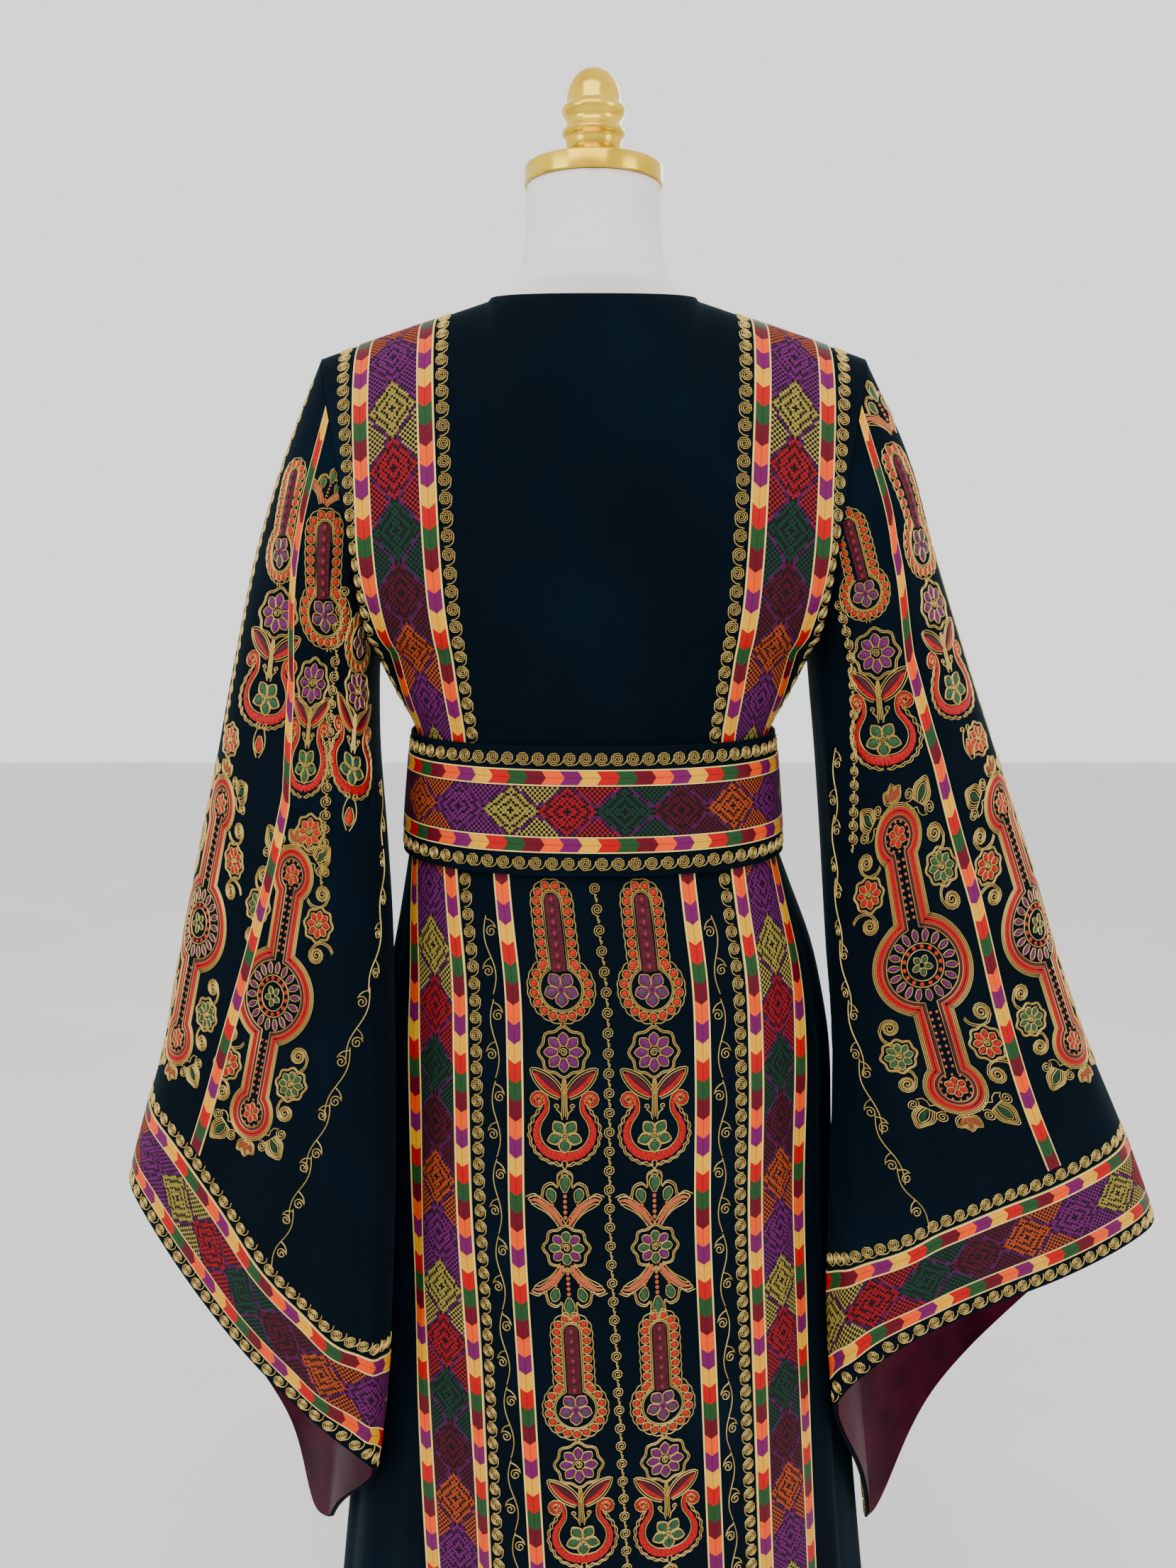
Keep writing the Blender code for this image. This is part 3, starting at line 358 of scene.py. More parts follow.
def drag_lift(points, side):
    """Depth of the drag folds at each point, nothing at the panel's outer edges."""
    lift = np.zeros(points.shape[:2])
    for *ends, width, depth in BODICE_DRAGS[side]:
        start = np.array(ends[:2])
        line = np.array(ends[2:]) - start
        apart = points[..., [0, 2]] - start
        share = np.clip((apart @ line) / (line @ line), 0, 1)
        away = np.linalg.norm(apart - share[..., None] * line, axis=-1)
        fade = np.sin(np.pi * np.clip(share * 0.96 + 0.02, 0, 1)) ** 0.7
        lift += depth * MM * fade * np.exp(-(away / (width * MM)) ** 2)
    return lift


def bodice_surface(side):
    """Back or front of the bodice. Across is 0 at the middle line, CENTRE_REACH at the gold trim."""
    rows = []
    for z in steps(WAIST_SEAM_Z + SEAM_GAP / 2, CHEST_Z, 6 * MM):
        loop = ring(z)
        half = len(loop) // 2
        fine = loop[:half // 2 + 1] if side == BACK else loop[half:half // 2 - 1:-1]
        rows.append(bodice_row(fine, z, None, side))
    turns = (np.arange(1, 31) / 30) ** 1.3 * math.pi / 2
    for share in np.sin(turns) ** (2 / OVER_SHOULDER):
        across = np.sin(np.linspace(0, math.pi / 2, 90)) * chest_width(share)
        fine = np.array([upper_body(x, share, side) for x in across])
        rows.append(bodice_row(fine, CHEST_Z + (NECK_POINT_Z - CHEST_Z) * share, share, side))
    half = np.array(rows)
    half[np.abs(half[:, -1, 1]) < SEAM_GAP / 2, -1, 1] = side * SEAM_GAP / 2
    over_neck = CENTRE_SHARES.index(0.71)
    half[-1, over_neck:, 1] = side * SEAM_GAP / 2
    mirror = half[:, :0:-1] * np.array([-1.0, 1.0, 1.0])
    grid = np.concatenate([mirror, half], axis=1)
    reach = np.concatenate([np.array(CENTRE_SHARES) * CENTRE_REACH, CENTRE_REACH + np.array(BEYOND_TRIM),
                            CENTRE_REACH + BEYOND_TRIM[-1] + np.array(SIDE_SHARES) * SIDE_REACH])
    across = np.concatenate([-reach[:0:-1], reach])
    if side == FRONT:
        grid = grid[:, ::-1]
    normals = grid_normals(grid)
    low = int(np.searchsorted(grid[:, 0, 2], CHEST_Z - SEAM_GAP))
    for edge in (0, -1):
        normals[:low, edge, 1] = 0
    normals[-1, np.abs(grid[-1, :, 0]) > NECK_HALF * 0.98, 1] = 0
    normals = unit(normals)
    edges = np.clip((across[-1] - np.abs(across)) / (SIDE_REACH * 0.9), 0, 1)
    grid = grid + normals * (drag_lift(grid, side) * edges)[..., None]
    middle = len(across) // 2
    band = middle + len(CENTRE_SHARES) + 8
    return Surface(grid, across, reach_along(grid[:, band]), normals)


# Sleeve guides, as in the solids: distances outwards from the body's middle plane
SleeveRing = namedtuple(
    "SleeveRing", "outer_x outer_z under_x under_z outer_y under_y back_y front_y "
    "back_out front_out back_drop front_drop sway tip_out tip_drop")
SLEEVE_RINGS = {
    LEFT: [
        (.226, 1.302, .166, 1.128, -.003, -.008, -.084, .080, 0, 0, 0, 0, 0, 0, 0),
        (.250, 1.232, .163, 1.080, -.006, -.028, -.091, .075, 0, 0, 0, 0, 0, 0, 0),
        (.270, 1.150, .156, 1.025, -.010, -.052, -.100, .069, 0, 0, 0, .005, 0, 0, 0),
        (.288, 1.070, .150, .965, -.014, -.074, -.108, .064, 0, 0, 0, .010, 0, 0, 0),
        (.306, .995, .147, .900, -.017, -.092, -.116, .060, 0, 0, 0, .018, 0, 0, 0),
        (.322, .925, .146, .830, -.019, -.104, -.124, .056, 0, 0, -.004, .030, 0, 0, .004),
        (.337, .858, .148, .745, -.020, -.111, -.129, .053, 0, .005, -.010, .050, 0, .006, .014),
        (.356, .795, .154, .640, -.020, -.110, -.126, .050, 0, .012, -.020, .085, 0, .014, .032),
        (.377, .724, .166, .515, -.020, -.100, -.115, .045, .004, .019, -.030, .130, 0, .026, .055),
    ],
    RIGHT: [
        (.229, 1.305, .168, 1.128, -.003, -.006, -.084, .080, 0, 0, 0, 0, 0, 0, 0),
        (.252, 1.233, .172, 1.078, -.006, -.016, -.088, .076, 0, 0, 0, 0, 0, 0, 0),
        (.281, 1.150, .175, 1.018, -.010, -.032, -.092, .071, 0, 0, 0, .005, 0, 0, 0),
        (.310, 1.072, .178, .952, -.014, -.048, -.096, .067, 0, 0, 0, .010, 0, 0, 0),
        (.338, .995, .181, .888, -.017, -.062, -.100, .064, 0, 0, -.004, .016, 0, 0, 0),
        (.364, .920, .181, .822, -.019, -.074, -.105, .061, 0, 0, -.010, .026, -.004, 0, .006),
        (.392, .850, .180, .745, -.020, -.083, -.108, .058, 0, 0, -.020, .042, -.008, 0, .020),
        (.425, .778, .178, .655, -.020, -.086, -.110, .055, 0, .004, -.038, .075, -.014, .006, .048),
        (.458, .696, .182, .545, -.020, -.085, -.110, .050, .005, .010, -.062, .110, -.020, .012, .078),
    ],
}
TIP_ANGLE = math.radians(225)
TIP_WIDTH = math.radians(24)
FINE_AROUND = 160
FINE_STEPS = 8
# Folds that run down the sleeve: where round it and how wide in degrees, how deep at the cuff in mm
SLEEVE_FOLDS = [(38, 13, 5.0), (78, 17, -5.0), (128, 15, 6.0), (262, 18, -6.0), (306, 14, 5.0)]
# Small creases, listed one by one: round the sleeve in degrees, share of the way down where it starts and
# ends, how far it wanders round, its width in degrees and its depth in millimetres
SLEEVE_CREASES = {
    LEFT: [
        (140, 0.02, 0.45, -22, 8, -3.4), (158, 0.05, 0.60, -12, 8, 3.2),
        (100, 0.00, 0.24, 20, 8, -2.4), (60, 0.02, 0.30, 12, 9, 2.0),
        (112, 0.40, 1.00, 6, 7, -2.2), (150, 0.50, 1.00, 4, 7, 3.0),
        (205, 0.05, 0.55, 14, 9, -3.2), (232, 0.10, 0.70, 8, 9, 3.0),
        (285, 0.00, 0.35, -14, 9, -2.6), (275, 0.45, 1.00, -6, 8, 2.6),
    ],
    RIGHT: [
        (144, 0.02, 0.50, -20, 8, -3.2), (162, 0.06, 0.62, -12, 8, 3.4),
        (96, 0.00, 0.22, 18, 8, -2.4), (66, 0.03, 0.32, 8, 9, 2.2),
        (108, 0.42, 1.00, 8, 7, -2.4), (146, 0.52, 1.00, 6, 7, 2.8),
        (208, 0.04, 0.52, 12, 9, -3.4), (236, 0.12, 0.72, 6, 9, 2.8),
        (288, 0.00, 0.38, -16, 9, -2.4), (278, 0.48, 1.00, -4, 8, 2.4),
    ],
}
CUFF_TRIMS = {"tape_lower": (14 * MM, 25.75 * MM), "band": (25.75 * MM, 61.5 * MM),
              "tape_upper": (61.5 * MM, 73.5 * MM)}
CUFF_TOP = 88.0 * MM
CUFF_HEIGHTS = [height * MM for height in (0, 1.5, 7, 14, 19.9, 25.75, 31.7, 37.7, 43.6, 49.6, 55.5, 61.5,
                                           67.5, 73.5, 81, 88.0)]
# Height of the sleeve above its cuff, taken as the same all round so that motifs keep level
SLEEVE_RISE = 0.54
SLEEVE_UPPER_ROWS = 54
SLEEVE_STRIPE = Table("share left right", (0.0, 0.080, 0.080), (0.12, 0.116, 0.116), (0.25, 0.146, 0.121),
                      (0.4, 0.156, 0.110), (0.6, 0.138, 0.106), (1.0, 0.110, 0.114))
SLEEVE_TAPE_HALF = 5.75 * MM


def sleeve_ring(guide, angle):
    """Closed ring through the four guide points, with the sway and the dip of the lowest corner."""
    outer = np.array([guide.outer_x, guide.outer_y, guide.outer_z])
    under = np.array([guide.under_x, guide.under_y, guide.under_z])
    middle = (outer + under) / 2
    back = np.array([middle[0] + guide.back_out, guide.back_y, middle[2] - guide.back_drop])
    front = np.array([middle[0] + guide.front_out, guide.front_y, middle[2] - guide.front_drop])
    cos = np.cos(angle)[:, None]
    sin = np.sin(angle)[:, None]
    points = ((outer + under + back + front) / 4 + cos * (outer - under) / 2 + sin * (back - front) / 2
              + np.cos(2 * angle)[:, None] * (outer + under - back - front) / 4)
    points[:, 2] += guide.sway * np.sin(2 * angle)
    dip = np.exp(-((angle - TIP_ANGLE) / TIP_WIDTH) ** 2)
    points[:, 0] += guide.tip_out * dip
    points[:, 2] -= guide.tip_drop * dip
    return points


def armhole_loop(angle):
    """Edge of the armhole for the angles round the sleeve: 0 at the shoulder, 90 degrees at the back."""
    loop = []
    for turn in angle:
        share = 0.5 + 0.5 * math.cos(turn)
        side = BACK if math.sin(turn) >= 0 else FRONT
        loop.append(upper_body(chest_width(share), share, side))
    return np.array(loop)


def clear_of_body(points, margin, hand):
    """Moves points out to the given margin from the bodice and skirt."""
    for p, room in zip(points, margin):
        if p[2] > CHEST_Z + 0.02:
            continue
        z = min(p[2], CHEST_Z)
        lift = room + FLUTE_DEPTH * max(0.0, (FLUTE_TOP_Z - z) / FLUTE_TOP_Z) ** 1.5
        half = section_value("half", z) + lift
        depth = section_value(SIDE_NAME[BACK if p[1] < 0 else FRONT], z) + lift
        centre = hand * section_value("centre", z)
        inside = (abs(p[0] - centre) / half) ** ROUNDNESS + (abs(p[1]) / depth) ** ROUNDNESS
        if 0 < inside < 1:
            grow = inside ** (-1 / ROUNDNESS)
            p[0] = centre + (p[0] - centre) * grow
            p[1] *= grow
    return points


def sleeve_fine(hand):
    """Fine grid of a sleeve from armhole to hem, in outward distances from the middle plane."""
    angle = 2 * np.pi * np.arange(FINE_AROUND) / FINE_AROUND
    degrees = np.degrees(angle)
    rings = [armhole_loop(angle)] + [sleeve_ring(SleeveRing(*guide), angle) for guide in SLEEVE_RINGS[hand]]
    rings[0][:, 0] += SEAM_GAP
    chain = [2 * rings[0] - rings[1]] + rings + [2 * rings[-1] - rings[-2]]
    fine = []
    for k in range(1, len(chain) - 2):
        for step in range(FINE_STEPS):
            t = step / FINE_STEPS
            fine.append(0.5 * (2 * chain[k] + (chain[k + 1] - chain[k - 1]) * t
                               + (2 * chain[k - 1] - 5 * chain[k] + 4 * chain[k + 1] - chain[k + 2]) * t**2
                               + (3 * chain[k] - chain[k - 1] - 3 * chain[k + 1] + chain[k + 2]) * t**3))
    fine.append(rings[-1])
    fine = np.array(fine)
    down = np.linspace(0, 1, len(fine))
    for place, width, depth in SLEEVE_FOLDS:
        out = unit(fine - fine.mean(axis=1, keepdims=True))
        fine += out * (depth * MM * down**1.2)[:, None, None] * bump(degrees - place, width)[None, :, None]
    out = unit(fine - fine.mean(axis=1, keepdims=True))
    for place, start, end, wander, width, depth in SLEEVE_CREASES[hand]:
        share = np.clip((down - start) / (end - start), 0, 1)
        fade = np.sin(np.pi * np.clip(share, 0, 1 if end < 1 else 0.5)) ** 0.8
        fade[(down < start) | (down > end)] = 0
        apart = degrees[None, :] - (place + wander * share)[:, None]
        fine += out * (depth * MM * fade[:, None] * bump(apart, width))[..., None]
    for v in range(1, len(fine)):
        reach = np.linalg.norm(fine[v] - fine[0], axis=1)
        clear_of_body(fine[v], np.minimum(9 * MM, 0.10 * reach + 1 * MM), hand)
    return fine


def distance_to_hem(fine):
    """Shortest distance from each fine point to the hem close to it."""
    hem = fine[-1]
    span = FINE_AROUND // 5
    far = np.empty(fine.shape[:2])
    for j in range(FINE_AROUND):
        near = hem[[(j + k) % FINE_AROUND for k in range(-span, span + 1)]]
        start = near[:-1]
        edge = near[1:] - start
        apart = fine[:, j, None, :] - start
        t = np.clip((apart * edge).sum(-1) / (edge**2).sum(1), 0, 1)
        far[:, j] = np.linalg.norm(apart - edge * t[..., None], axis=-1).min(axis=1)
    return far


def sleeve_rows(fine):
    """Rows of the sleeve from hem to armhole: first at the cuff's heights, then in even shares."""
    far = distance_to_hem(fine)
    rows = np.empty((len(CUFF_HEIGHTS) + SLEEVE_UPPER_ROWS, FINE_AROUND, 3))
    for j in range(FINE_AROUND):
        path = fine[::-1, j]
        reach = reach_along(path)
        low = np.interp(CUFF_HEIGHTS, np.maximum.accumulate(far[::-1, j]), reach)
        high = low[-1] + (reach[-1] - low[-1]) * np.arange(1, SLEEVE_UPPER_ROWS + 1) / SLEEVE_UPPER_ROWS
        rows[:, j] = along(path, np.concatenate([low, high]))
    return rows


def sleeve_shape(hand):
    """The closed sleeve grid and its outward normals, and the surface that its trim is laid on."""
    grid = sleeve_rows(sleeve_fine(hand)) * np.array([hand, 1.0, 1.0])
    normals = grid_normals(grid, True) * (1 if hand == LEFT else -1)
    armhole = normals[-1].copy()
    armhole[:, 0] = hand * np.minimum(hand * armhole[:, 0], 0)
    normals[-1] = unit(armhole)
    up = np.concatenate([CUFF_HEIGHTS, CUFF_TOP + SLEEVE_RISE * np.arange(1, SLEEVE_UPPER_ROWS + 1)
                         / SLEEVE_UPPER_ROWS])
    across = steps(-0.175, 0.42, 4 * MM)
    points = []
    outs = []
    for row, normal in zip(grid, normals):
        loop = np.concatenate([row, row[:1]])
        around = length(loop)
        reach = reach_along(loop)
        where = across % around
        points.append(along(loop, where))
        turned = np.concatenate([normal, normal[:1]])
        outs.append(np.stack([np.interp(where, reach, turned[:, k]) for k in range(3)], axis=1))
    return grid, normals, Surface(np.array(points), across, up, unit(np.array(outs)))


def stripe_across(share, hand):
    """Distance of the chevron stripe from the outer fold, by share of the way down to the cuff."""
    return np.interp(share, SLEEVE_STRIPE.share, SLEEVE_STRIPE.left if hand == LEFT else SLEEVE_STRIPE.right)


def linear(code):
    """sRGB hex value as a linear colour."""
    parts = [int(code[k:k + 2], 16) / 255 for k in (1, 3, 5)]
    return tuple(p / 12.92 if p <= 0.04045 else ((p + 0.055) / 1.055) ** 2.4 for p in parts) + (1.0,)


def plug(tree, node, values):
    """Fills a node's inputs: a node or socket is linked, a hex value is turned into its colour."""
    for name, value in values.items():
        if isinstance(value, bpy.types.Node):
            value = value.outputs[0]
        if isinstance(value, bpy.types.NodeSocket):
            tree.links.new(value, node.inputs[name])
        else:
            node.inputs[name].default_value = linear(value) if isinstance(value, str) else value


def add(tree, kind, links=None, **settings):
    """Adds a node with its inputs and its settings."""
    made = tree.nodes.new("ShaderNode" + kind)
    for name, value in settings.items():
        setattr(made, name, value)
    plug(tree, made, links or {})
    return made


def maths(tree, operation, *values):
    return add(tree, "Math", dict(enumerate(values)), operation=operation)


def mixed(tree, share, one, other, blend="MIX"):
    return add(tree, "MixRGB", {"Fac": share, "Color1": one, "Color2": other}, blend_type=blend)


def ramp(tree, share, *stops, stepped=False):
    """Adds a colour ramp. Each stop is a place with a hex value or a grey."""
    made = add(tree, "ValToRGB", {"Fac": share})
    scale = made.color_ramp
    scale.interpolation = "CONSTANT" if stepped else "LINEAR"
    while len(scale.elements) < len(stops):
        scale.elements.new(1.0)
    for element, (place, colour) in zip(scale.elements, stops):
        element.position = place
        element.color = linear(colour) if isinstance(colour, str) else (colour, colour, colour, 1.0)
    return made


def noise(tree, place, scale, detail=2.0, stretch=None):
    """Adds a cloudy pattern, drawn out along the axes where a stretch is given."""
    if stretch:
        place = add(tree, "Mapping", {"Vector": place, "Scale": stretch})
    return add(tree, "TexNoise", {"Vector": place, "Scale": scale, "Detail": detail})


def new_paint(name):
    """A new material, its node tree and the place on the piece that its patterns start from."""
    paint = bpy.data.materials.new(name)
    paint.use_nodes = True
    return paint, paint.node_tree, add(paint.node_tree, "TexCoord").outputs["Object"]


def new_cloth_paint(name):
    """A new material, its node tree, and the metres across a strip from its middle and along it."""
    paint = bpy.data.materials.new(name)
    paint.use_nodes = True
    spot = add(paint.node_tree, "UVMap", uv_map="cloth")
    parts = add(paint.node_tree, "SeparateXYZ", {"Vector": spot})
    return paint, paint.node_tree, parts.outputs["X"], parts.outputs["Y"]


def cover(paint, colour, rough, relief=None, **others):
    """Wires colour, roughness and the other sockets. Relief: its pattern, its strength and its depth."""
    tree = paint.node_tree
    shader = tree.nodes["Principled BSDF"]
    plug(tree, shader, {"Base Color": colour, "Roughness": rough})
    plug(tree, shader, {name.replace("_", " "): value for name, value in others.items()})
    if relief:
        height, strength, depth = relief
        bump = add(tree, "Bump", {"Strength": strength, "Distance": depth, "Height": height})
        plug(tree, shader, {"Normal": bump})
    return paint


def velvet():
    """Cotton velvet with a cut pile: almost black, with a blue-green bloom where the pile tips away."""
    paint, tree, place = new_paint("cotton_velvet")
    pile = noise(tree, place, 1100.0)
    shade = ramp(tree, noise(tree, place, 9.0, 3.0), (0.35, "#010a14"), (0.55, "#020e1a"), (0.75, "#041826"))
    return cover(paint, mixed(tree, pile, shade, "#00060c"), 0.9, (pile, 0.25, 0.4 * MM), Sheen_Weight=0.16,
                 Sheen_Roughness=0.34, Sheen_Tint="#1f5a66", Specular_IOR_Level=0.05)


YARNS = ["#d69712", "#ac0005", "#1b421e", "#5a0317", "#de4603", "#640a4c"]
CHEVRON_LENGTH = 13.6 * MM
CHEVRON_SLANT = 0.72
TAPE_EDGE = 4.9 * MM


def chevron_tape():
    """Woven tape with floss laid in chevrons of six colours between two pale gold edge cords. The
    floss lies along the slant, which gives each arm of a chevron its own fine streaks: the strands' own
    uneven tone together with painted highlight and shade. Painted shade darkens the middle groove and the
    floss next to the edge cords, whose twist is painted pale on each turn and dark between the turns."""
    paint, tree, across, along_it = new_cloth_paint("rayon_chevron_tape")
    out = maths(tree, "ABSOLUTE", across)
    slant = maths(tree, "MULTIPLY_ADD", out, CHEVRON_SLANT, along_it)
    share = maths(tree, "FRACT", maths(tree, "MULTIPLY", slant, 1 / (6 * CHEVRON_LENGTH)))
    colour = ramp(tree, share, *[(k / 6, yarn) for k, yarn in enumerate(YARNS)], stepped=True)
    streak_at = add(tree, "CombineXYZ", {"X": out, "Y": slant})
    # Floss streaks: partly the strands' own uneven tone, partly painted highlight and shade where the strands
    # catch the light
    streak = noise(tree, streak_at, 1.0, stretch=(120.0, 1700.0, 1.0))
    light = maths(tree, "MULTIPLY_ADD", streak, 0.9, 0.52)
    floss = mixed(tree, 1.0, colour, light, "MULTIPLY")
    # Painted shade: the floss is darkened along the middle groove where the arms meet and next to the raised
    # edge cords
    groove = ramp(tree, maths(tree, "MULTIPLY", out, 100.0), (0.0, 0.45), (0.045, 1), (0.44, 1), (0.49, 0.6))
    shaded = mixed(tree, 1.0, floss, groove, "MULTIPLY")
    edge = maths(tree, "GREATER_THAN", out, TAPE_EDGE)
    # Painted highlight and shade: the edge cords are pale on each turn of the twist and darker between the
    # turns
    winding = {"Vector": streak_at, "Scale": 260.0, "Distortion": 1.0}
    twist = add(tree, "TexWave", winding, bands_direction="Y")
    cord = ramp(tree, twist, (0.0, "#b49034"), (1.0, "#f8e48c"))
    height = maths(tree, "ADD", streak, edge)
    woven = mixed(tree, edge, shaded, cord)
    return cover(paint, woven, 0.5, (height, 0.5, 0.35 * MM), Specular_IOR_Level=0.12)


STITCH_WOOLS = ["#b04416", "#6e1066", "#a09038", "#9c061a", "#093824", "#50081e"]
STITCH = 1.82 * MM
DIAMOND_STITCHES = 23
# Stitch rings of a diamond counted from its middle, and which of them are worked: the diamond in its
# own wool, the lattice round it, and all that lies in the corners beyond
RING_SPAN = 24
RINGS_WORKED = {"diamond": (0.0, 1.4, 4.4, 5.6, 8.4, 9.5, 11.6), "lattice": (0.0, 12.4, 13.9),
                "corner": (0.0, 13.9)}


def cross_stitch():
    """Cross-stitch in wool on dark even-weave: stepped diamonds in six colours, one below the other,
    with a dark cross in the middle, and a purple lattice with checked corners between them."""
    paint, tree, across, along_it = new_cloth_paint("wool_cross_stitch")
    places = []
    insides = []
    for distance in (across, along_it):
        count = maths(tree, "MULTIPLY_ADD", distance, 1 / STITCH, 0.5)
        places.append(maths(tree, "FLOOR", count))
        insides.append(maths(tree, "SUBTRACT", maths(tree, "FRACT", count), 0.5))
    diamond = maths(tree, "MULTIPLY", places[1], 1 / DIAMOND_STITCHES)
    number = maths(tree, "FLOOR", diamond)
    row = maths(tree, "SUBTRACT", places[1], maths(tree, "MULTIPLY", number, DIAMOND_STITCHES))
    up = maths(tree, "ABSOLUTE", maths(tree, "SUBTRACT", row, (DIAMOND_STITCHES - 1) / 2))
    ring_number = maths(tree, "MULTIPLY_ADD", maths(tree, "ABSOLUTE", places[0]), 1.25, up)
    ring_share = maths(tree, "MULTIPLY", ring_number, 1 / RING_SPAN)

    def coloured(index):
        share = maths(tree, "FRACT", maths(tree, "MULTIPLY_ADD", index, 1 / 6, 1 / 12))
        return ramp(tree, share, *[(k / 6, wool) for k, wool in enumerate(STITCH_WOOLS)], stepped=True)

    masks = {}
    for name, rings in RINGS_WORKED.items():
        stops = [(stop / RING_SPAN, k % 2) for k, stop in enumerate(rings)]
        masks[name] = ramp(tree, ring_share, *stops, stepped=True)
    halved = maths(tree, "MULTIPLY", maths(tree, "ADD", places[0], places[1]), 0.5)
    check = maths(tree, "GREATER_THAN", maths(tree, "FRACT", halved), 0.25)
    holes = maths(tree, "MULTIPLY_ADD", check, 0.45, 0.55)
    worked = mixed(tree, masks["diamond"], "#120812", mixed(tree, 1.0, coloured(number), holes, "MULTIPLY"))
    worked = mixed(tree, masks["lattice"], worked, "#4a0c46")
    corner = coloured(maths(tree, "FLOOR", maths(tree, "SUBTRACT", diamond, 0.5)))
    worked = mixed(tree, maths(tree, "MULTIPLY", check, masks["corner"]), worked, corner)
    far = [maths(tree, "ABSOLUTE", maths(tree, kind, *insides)) for kind in ("ADD", "SUBTRACT")]
    thread = ramp(tree, maths(tree, "MINIMUM", *far), (0.15, 1.0), (0.38, 0.08))
    stitched = mixed(tree, 1.0, worked, thread, "MULTIPLY")
    return cover(paint, stitched, 0.8, (thread, 0.7, 0.5 * MM), Specular_IOR_Level=0.15)


def gold_cord():
    """Metal thread wound on a core: warm pale gold, with painted highlights on the turns of its twist and
    painted shade between them.
    """
    paint, tree, across, along_it = new_cloth_paint("gold_metal_thread")
    slant = maths(tree, "MULTIPLY_ADD", across, 1.0, along_it)
    wave = maths(tree, "SINE", maths(tree, "MULTIPLY", slant, 2 * math.pi / (1.1 * MM)))
    rise = maths(tree, "MULTIPLY_ADD", wave, 0.5, 0.5)
    # Painted highlight and shade along the twist: dark brown between the turns, pale gold on them
    tint = ramp(tree, rise, (0.0, "#7c5c1a"), (0.5, "#cda648"), (1.0, "#fbe690"))
    return cover(paint, tint, 0.36, (rise, 0.6, 0.2 * MM), Metallic=0.55)


def satin_stitch(name, code, shade):
    """Floss laid side by side in satin stitch: bright where the strands catch the light, darker between."""
    paint, tree, across, along_it = new_cloth_paint(f"floss_{name}")
    where = add(tree, "CombineXYZ", {"X": across, "Y": along_it})
    strand = noise(tree, where, 1.0, stretch=(160.0, 1900.0, 1.0))
    tint = ramp(tree, strand, (0.32, shade), (0.62, code))
    return cover(paint, tint, 0.45, (strand, 0.5, 0.3 * MM), Specular_IOR_Level=0.16)


def satin_lining():
    """Wine-coloured polyester satin: smooth, with a soft long sheen and faint weave lines."""
    paint, tree, place = new_paint("polyester_satin")
    weave = noise(tree, place, 900.0, stretch=(1.0, 1.0, 0.25))
    ripple = noise(tree, place, 22.0)
    tint = ramp(tree, ripple, (0.35, "#200210"), (0.65, "#3a071c"))
    height = maths(tree, "MULTIPLY_ADD", ripple, 6.0, weave)
    return cover(paint, tint, 0.46, (height, 0.3, 0.5 * MM), Specular_IOR_Level=0.04, Specular_Tint="#c25a7c")


def linen_cover():
    """Off-white linen jersey pulled over the form: fine knit and scattered grey flecks."""
    paint, tree, place = new_paint("linen_jersey")
    flecks = add(tree, "TexVoronoi", {"Vector": place, "Scale": 420.0})
    spread = noise(tree, place, 300.0, 3.0)
    dots = ramp(tree, flecks.outputs["Distance"], (0.05, "#7a7771"), (0.2, "#e0ded6"))
    knit = mixed(tree, spread, "#e6e4dc", dots)
    return cover(paint, knit, 0.85, (spread, 0.35, 0.3 * MM), Sheen_Weight=0.15)


def polished_gold():
    """Gold-plated steel, polished after turning: mirror bright, with faint rings and handling haze."""
    paint, tree, place = new_paint("gold_plated_steel")
    rings = noise(tree, place, 60.0, stretch=(1.0, 1.0, 40.0))
    haze = noise(tree, place, 35.0, 4.0)
    tint = ramp(tree, haze, (0.3, "#c9a01c"), (0.7, "#e4c23c"))
    rough = maths(tree, "MULTIPLY_ADD", haze, 0.16, 0.08)
    return cover(paint, tint, rough, (rings, 0.08, 0.2 * MM), Metallic=1.0)


# Each finish: its material, and the slot and the word that its pieces are named by
Finish = namedtuple("Finish", "paint slot ending")
FINISHES = {
    "velvet": Finish(velvet(), "velvet", "velvet"),
    "tape": Finish(chevron_tape(), "chevron_tape", "chevrons"),
    "cross_stitch": Finish(cross_stitch(), "cross_stitch", "stitches"),
    "cord": Finish(gold_cord(), "gold_cord", "gold_cord"),
    "satin": Finish(satin_lining(), "satin_lining", "satin"),
    "linen": Finish(linen_cover(), "linen_cover", "jersey"),
    "gold": Finish(polished_gold(), "polished_gold", "polished"),
}
FLOSSES = {"purple": ("#6a1060", "#260522"), "green": ("#2c5a36", "#0c2012"), "red": ("#bc0409", "#4c0204"),
           "orange": ("#c42209", "#641004"), "peach": ("#c0603a", "#5c2412"), "rose": ("#96203c", "#480a18"),
           "maroon": ("#52071a", "#1c0208")}
for floss, codes in FLOSSES.items():
    FINISHES[floss] = Finish(satin_stitch(floss, *codes), "satin_stitch", "satin_stitch")


Cloth = namedtuple("Cloth", "panel trim surface")


